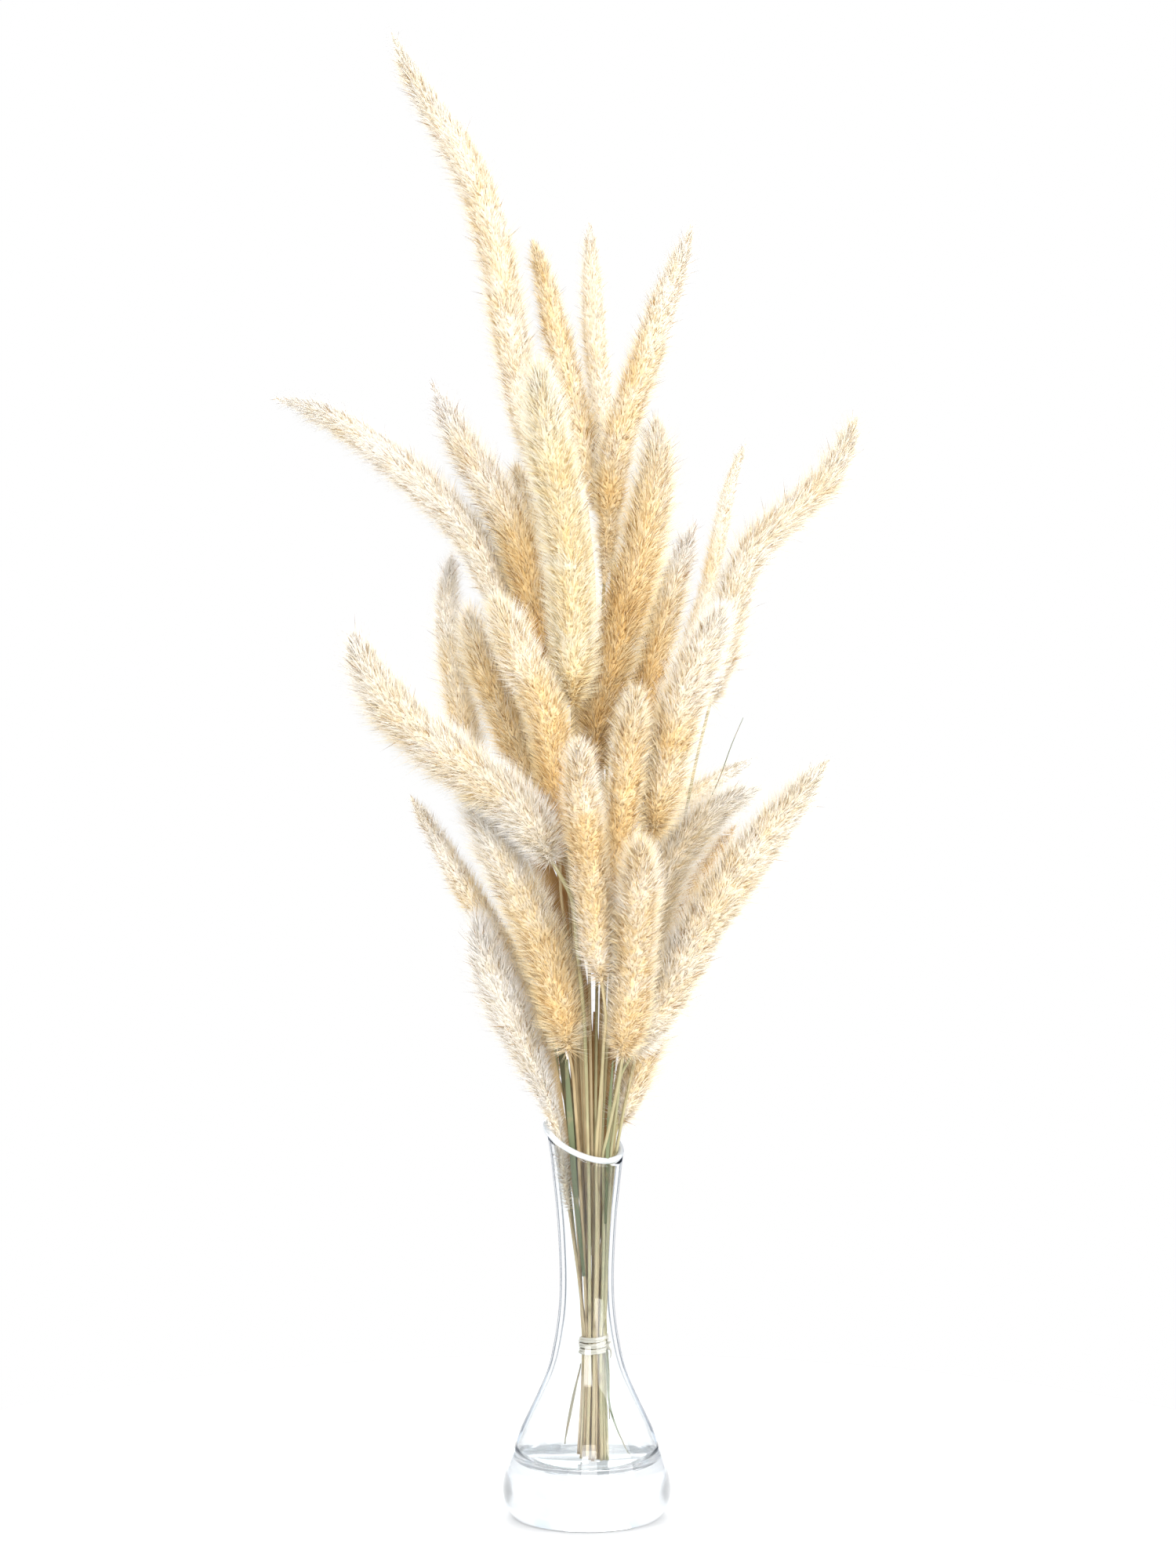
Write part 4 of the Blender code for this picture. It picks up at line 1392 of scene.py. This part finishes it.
HEADS = (
    SeedHead(1, (CREAM, CREAM, WHITE), 0.03),
    SeedHead(2, (BUFF, BUFF, BUFF), 0.08, 1.1),
    SeedHead(3, (WHITE, CREAM, WHITE), 0.03, 1.1),
    SeedHead(4, (BUFF, BUFF, WHITE), 0.07, 1.1, drop=0.024),
    SeedHead(5, (BUFF, BUFF, CREAM), 0.02, 1.0, Fuzz.LEMON),
    SeedHead(6, (WHITE, WHITE, WHITE), 0.03),
    SeedHead(7, (UMBER, BUFF, SNOW), 0.08, 1.1, painted_shade=0.16),
    SeedHead(8, (GOLD, BUFF, BUFF), 0.07, 1.2),
    SeedHead(9, (GOLD, GOLD, CREAM), 0.07, 1.2, drop=0.008),
    SeedHead(10, (WHITE, CREAM, WHITE), 0.025, 1.2),
    SeedHead(11, (CREAM, CREAM, CREAM), 0.035, 1.65),
    SeedHead(12, (UMBER, STRAW, SNOW), 0.09, 1.35),
    SeedHead(13, (STRAW, BUFF, WHITE), 0.035, 1.15),
    SeedHead(14, (CREAM, BUFF, SNOW), 0.015, 1.35),
    SeedHead(15, (STRAW, STRAW, CREAM), 0.05, 1.25),
    SeedHead(16, (UMBER, STRAW, CREAM), 0.025),
    SeedHead(17, (WHITE, CREAM, WHITE), 0.02),
    SeedHead(18, (CREAM, STRAW, BUFF), 0.025, fuzz=Fuzz.ASH),
    SeedHead(19, (UMBER, STRAW, BUFF), 0.045, 1.15),
    SeedHead(20, (STRAW, BUFF, BUFF), 0.02, fuzz=Fuzz.ASH),
    SeedHead(21, (STRAW, CREAM, WHITE), 0.006, 1.35, painted_shade=0.0),
    SeedHead(22, (STRAW, STRAW, SNOW), 0.015, 1.3),
    SeedHead(23, (WHITE, CREAM, WHITE), 0.02),
    SeedHead(24, (GOLD, GOLD, BROWN), 0.03, 1.25),
    SeedHead(25, (GOLD, CREAM, WHITE), 0.03),
    SeedHead(26, (STRAW, BUFF, SNOW), 0.02),
    SeedHead(27, (CREAM, WHITE, SNOW), 0.025, base_fur=0.45),
    SeedHead(28, (CREAM, STRAW, BUFF), 0.03, 1.65, base_fur=0.8),
)


@dataclass
class LooseBlade:
    """A thin dry blade that grows in the bunch, drawn by the places where the front view shows it.

    facing is the angle that its width starts at, and half_width runs from its foot to its tip. Each
    of the places is how far across and up the front view it shows, and how far back it lies.
    """

    name: str
    finish: LeafFinish
    facing: float
    half_width: tuple[float, ...]
    places: tuple[tuple[float, float, float], ...]
    steps: int = 12

    def make(self) -> None:
        """Builds the blade."""
        places = np.array([seen_at(*place) for place in self.places])
        flat = np.array([math.cos(self.facing), math.sin(self.facing), 0.0])
        blade = Blade(self.name, self.finish, self.half_width)
        blade.make(smooth_line(places, self.steps * len(places)), flat)


# The back blades in brown and near-black leaf also paint the shade inside the bunch.
LOOSE_BLADES = (
    LooseBlade(
        "loose_awn", GREEN_LEAF, 0.0, (0.0006, 0.0008, 0.0008, 0.0006, 0.0005, 0.0003, 0.00012),
        ((752, 1600, 0.004), (762, 1470, 0.009), (783, 1330, 0.014), (830, 1180, 0.018),
         (885, 1060, 0.016), (917, 994, 0.012), (935, 945, 0.010), (948, 915, 0.008)),
    ),
    LooseBlade(
        "foot_blade_long", GREEN_LEAF, 0.5, (0.0007, 0.0009, 0.0006, 0.0005, 0.0002),
        ((771, 1700, -0.0028), (774.5, 1745, -0.0034), (778, 1795, -0.0034), (789, 1828, -0.0030),
         (804, 1857, -0.0020)),
    ),
    LooseBlade(
        "foot_blade_short", PALE_LEAF, 0.8, (0.0005, 0.0007, 0.0006, 0.0002),
        ((772, 1705, -0.0010), (776, 1750, -0.0012), (776.5, 1780, -0.0012), (777.5, 1810, -0.0012)),
    ),
    LooseBlade(
        "stub_blade", PALE_LEAF, 0.4, (0.0010, 0.0011, 0.0004),
        ((770.5, 1712, -0.0036), (771.5, 1698, -0.0036), (772.5, 1682, -0.0030)),
    ),
    LooseBlade(
        "back_blade_1", BROWN_LEAF_AND_SHADE, 0.0, (0.0010, 0.0022, 0.0032, 0.0040, 0.0044, 0.0034, 0.0014),
        ((752, 1600, 0.0045), (745, 1500, 0.0062), (739, 1400, 0.0070), (733, 1290, 0.0072),
         (723, 1200, 0.0070), (709, 1134, 0.0050), (693, 1086, 0.0020)),
    ),
    LooseBlade(
        "back_blade_2", BROWN_LEAF_AND_SHADE, 0.2, (0.0010, 0.0024, 0.0032, 0.0026, 0.0008),
        ((757, 1580, 0.0065), (756, 1480, 0.0090), (752, 1380, 0.0100), (746, 1270, 0.0080),
         (738, 1190, 0.0060)),
    ),
    LooseBlade(
        "back_blade_3", BROWN_LEAF_AND_SHADE, -0.2, (0.0010, 0.0024, 0.0032, 0.0028, 0.0008),
        ((764, 1580, 0.0065), (768, 1480, 0.0085), (774, 1380, 0.0100), (783, 1280, 0.0100),
         (790, 1200, 0.0080)),
    ),
    LooseBlade(
        "back_blade_4", PALE_LEAF, -0.4, (0.0008, 0.0018, 0.0024, 0.0008),
        ((768, 1570, 0.0020), (778, 1480, 0.0040), (786, 1400, 0.0060), (798, 1310, 0.0080)),
    ),
    LooseBlade(
        "back_blade_5", BROWN_LEAF_AND_SHADE, -0.1, (0.0010, 0.0022, 0.0026, 0.0009),
        ((758, 1560, 0.0055), (759, 1450, 0.0085), (759.5, 1360, 0.0095), (759, 1290, 0.0085)),
    ),
    # Painted shade: a near-black blade where the inside of the bunch lies in shade.
    LooseBlade(
        "back_blade_6", SHADE_DARK_LEAF, 0.15, (0.0010, 0.0020, 0.0026, 0.0024, 0.0012),
        ((746, 1560, 0.0030), (737, 1480, 0.0030), (727, 1410, 0.0025), (718, 1350, 0.0020),
         (711, 1315, 0.0020)),
    ),
    LooseBlade(
        "back_blade_7", BROWN_LEAF_AND_SHADE, 0.1, (0.0010, 0.0024, 0.0032, 0.0042, 0.0046, 0.0016),
        ((750, 1500, 0.0085), (743, 1380, 0.0095), (736, 1270, 0.0100), (728, 1160, 0.0090),
         (718, 1085, 0.0070), (711, 1020, 0.0060)),
    ),
    LooseBlade(
        "back_blade_8", STRAW_LEAF, -0.1, (0.0010, 0.0030, 0.0036, 0.0012),
        ((768, 1260, 0.0120), (769, 1140, 0.0130), (767, 1050, 0.0130), (764, 950, 0.0120)),
    ),
    LooseBlade(
        "back_blade_9", STRAW_LEAF, 0.0, (0.0010, 0.0030, 0.0042, 0.0018),
        ((752, 1140, 0.0130), (747, 1020, 0.0150), (738, 930, 0.0160), (734, 868, 0.0150)),
    ),
    LooseBlade(
        "back_blade_10", BROWN_LEAF_AND_SHADE, 0.0, (0.0012, 0.0036, 0.0052, 0.0044),
        ((746, 1300, 0.0060), (726, 1210, 0.0060), (702, 1135, 0.0050), (680, 1078, 0.0040)),
    ),
    LooseBlade(
        "back_blade_11", STRAW_LEAF, 0.0, (0.0012, 0.0036, 0.0046, 0.0026),
        ((754, 920, 0.0200), (752, 830, 0.0220), (748, 740, 0.0230), (743, 640, 0.0220)),
    ),
    LooseBlade(
        "back_blade_12", STRAW_LEAF, 0.1, (0.0008, 0.0014, 0.0026, 0.0028, 0.0010),
        ((741, 1560, 0.0010), (729, 1500, 0.0005), (715, 1430, 0.0), (706, 1370, 0.0),
         (700, 1315, 0.0005)),
    ),
    LooseBlade(
        "short_green_blade", GREEN_LEAF, 0.3, (0.0006, 0.0009, 0.0010, 0.0004),
        ((771, 1560, -0.0090), (775, 1470, -0.0140), (778, 1410, -0.0190), (782, 1352, -0.0240)),
    ),
)


@dataclass
class Bunch:
    """Everything that grew: heads, stems and leaves."""

    seed: int = 11
    hues: tuple[float, float] = (0.04, 1.0)

    def make(self) -> None:
        """Builds every stem, head and leaf."""
        bristles = Bristles()
        bristles.grow()
        rng = np.random.default_rng(self.seed)
        hues = rng.permutation(np.linspace(*self.hues, len(HEADS)))
        lines = {head.number: head.middle_line() for head in HEADS}
        for head, hue in zip(HEADS, hues):
            head.make(bristles, [line for number, line in lines.items() if number != head.number])
            Stalk(head.number, float(hue)).make()
        widths = (0.0009, 0.0012, 0.0016, 0.0018, 0.0010)
        Blade("neck_blade", GREEN_LEAF, widths).stand_for("leaf_blade_neck")
        widths = (0.0003, 0.0008, 0.0009, 0.0007)
        Blade("foot_strip", DULL_LEAF, widths, twist=(1.25, 0.1)).stand_for("leaf_strip_foot")
        for loose in LOOSE_BLADES:
            loose.make()


def main() -> None:
    """Builds the studio, the vase, the tie and the bunch."""
    logging.basicConfig(level=logging.INFO, format="%(name)s: %(message)s", stream=sys.stdout)
    Studio().make()
    GlassVase().make()
    RaffiaTie().make()
    Bunch().make()
    meshes = [o.data for o in bpy.data.objects if o.type == "MESH" and o.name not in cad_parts]
    LOG.info("triangles added in all: %d", sum(len(p.vertices) - 2 for m in meshes for p in m.polygons))


if __name__ == "__main__":
    main()
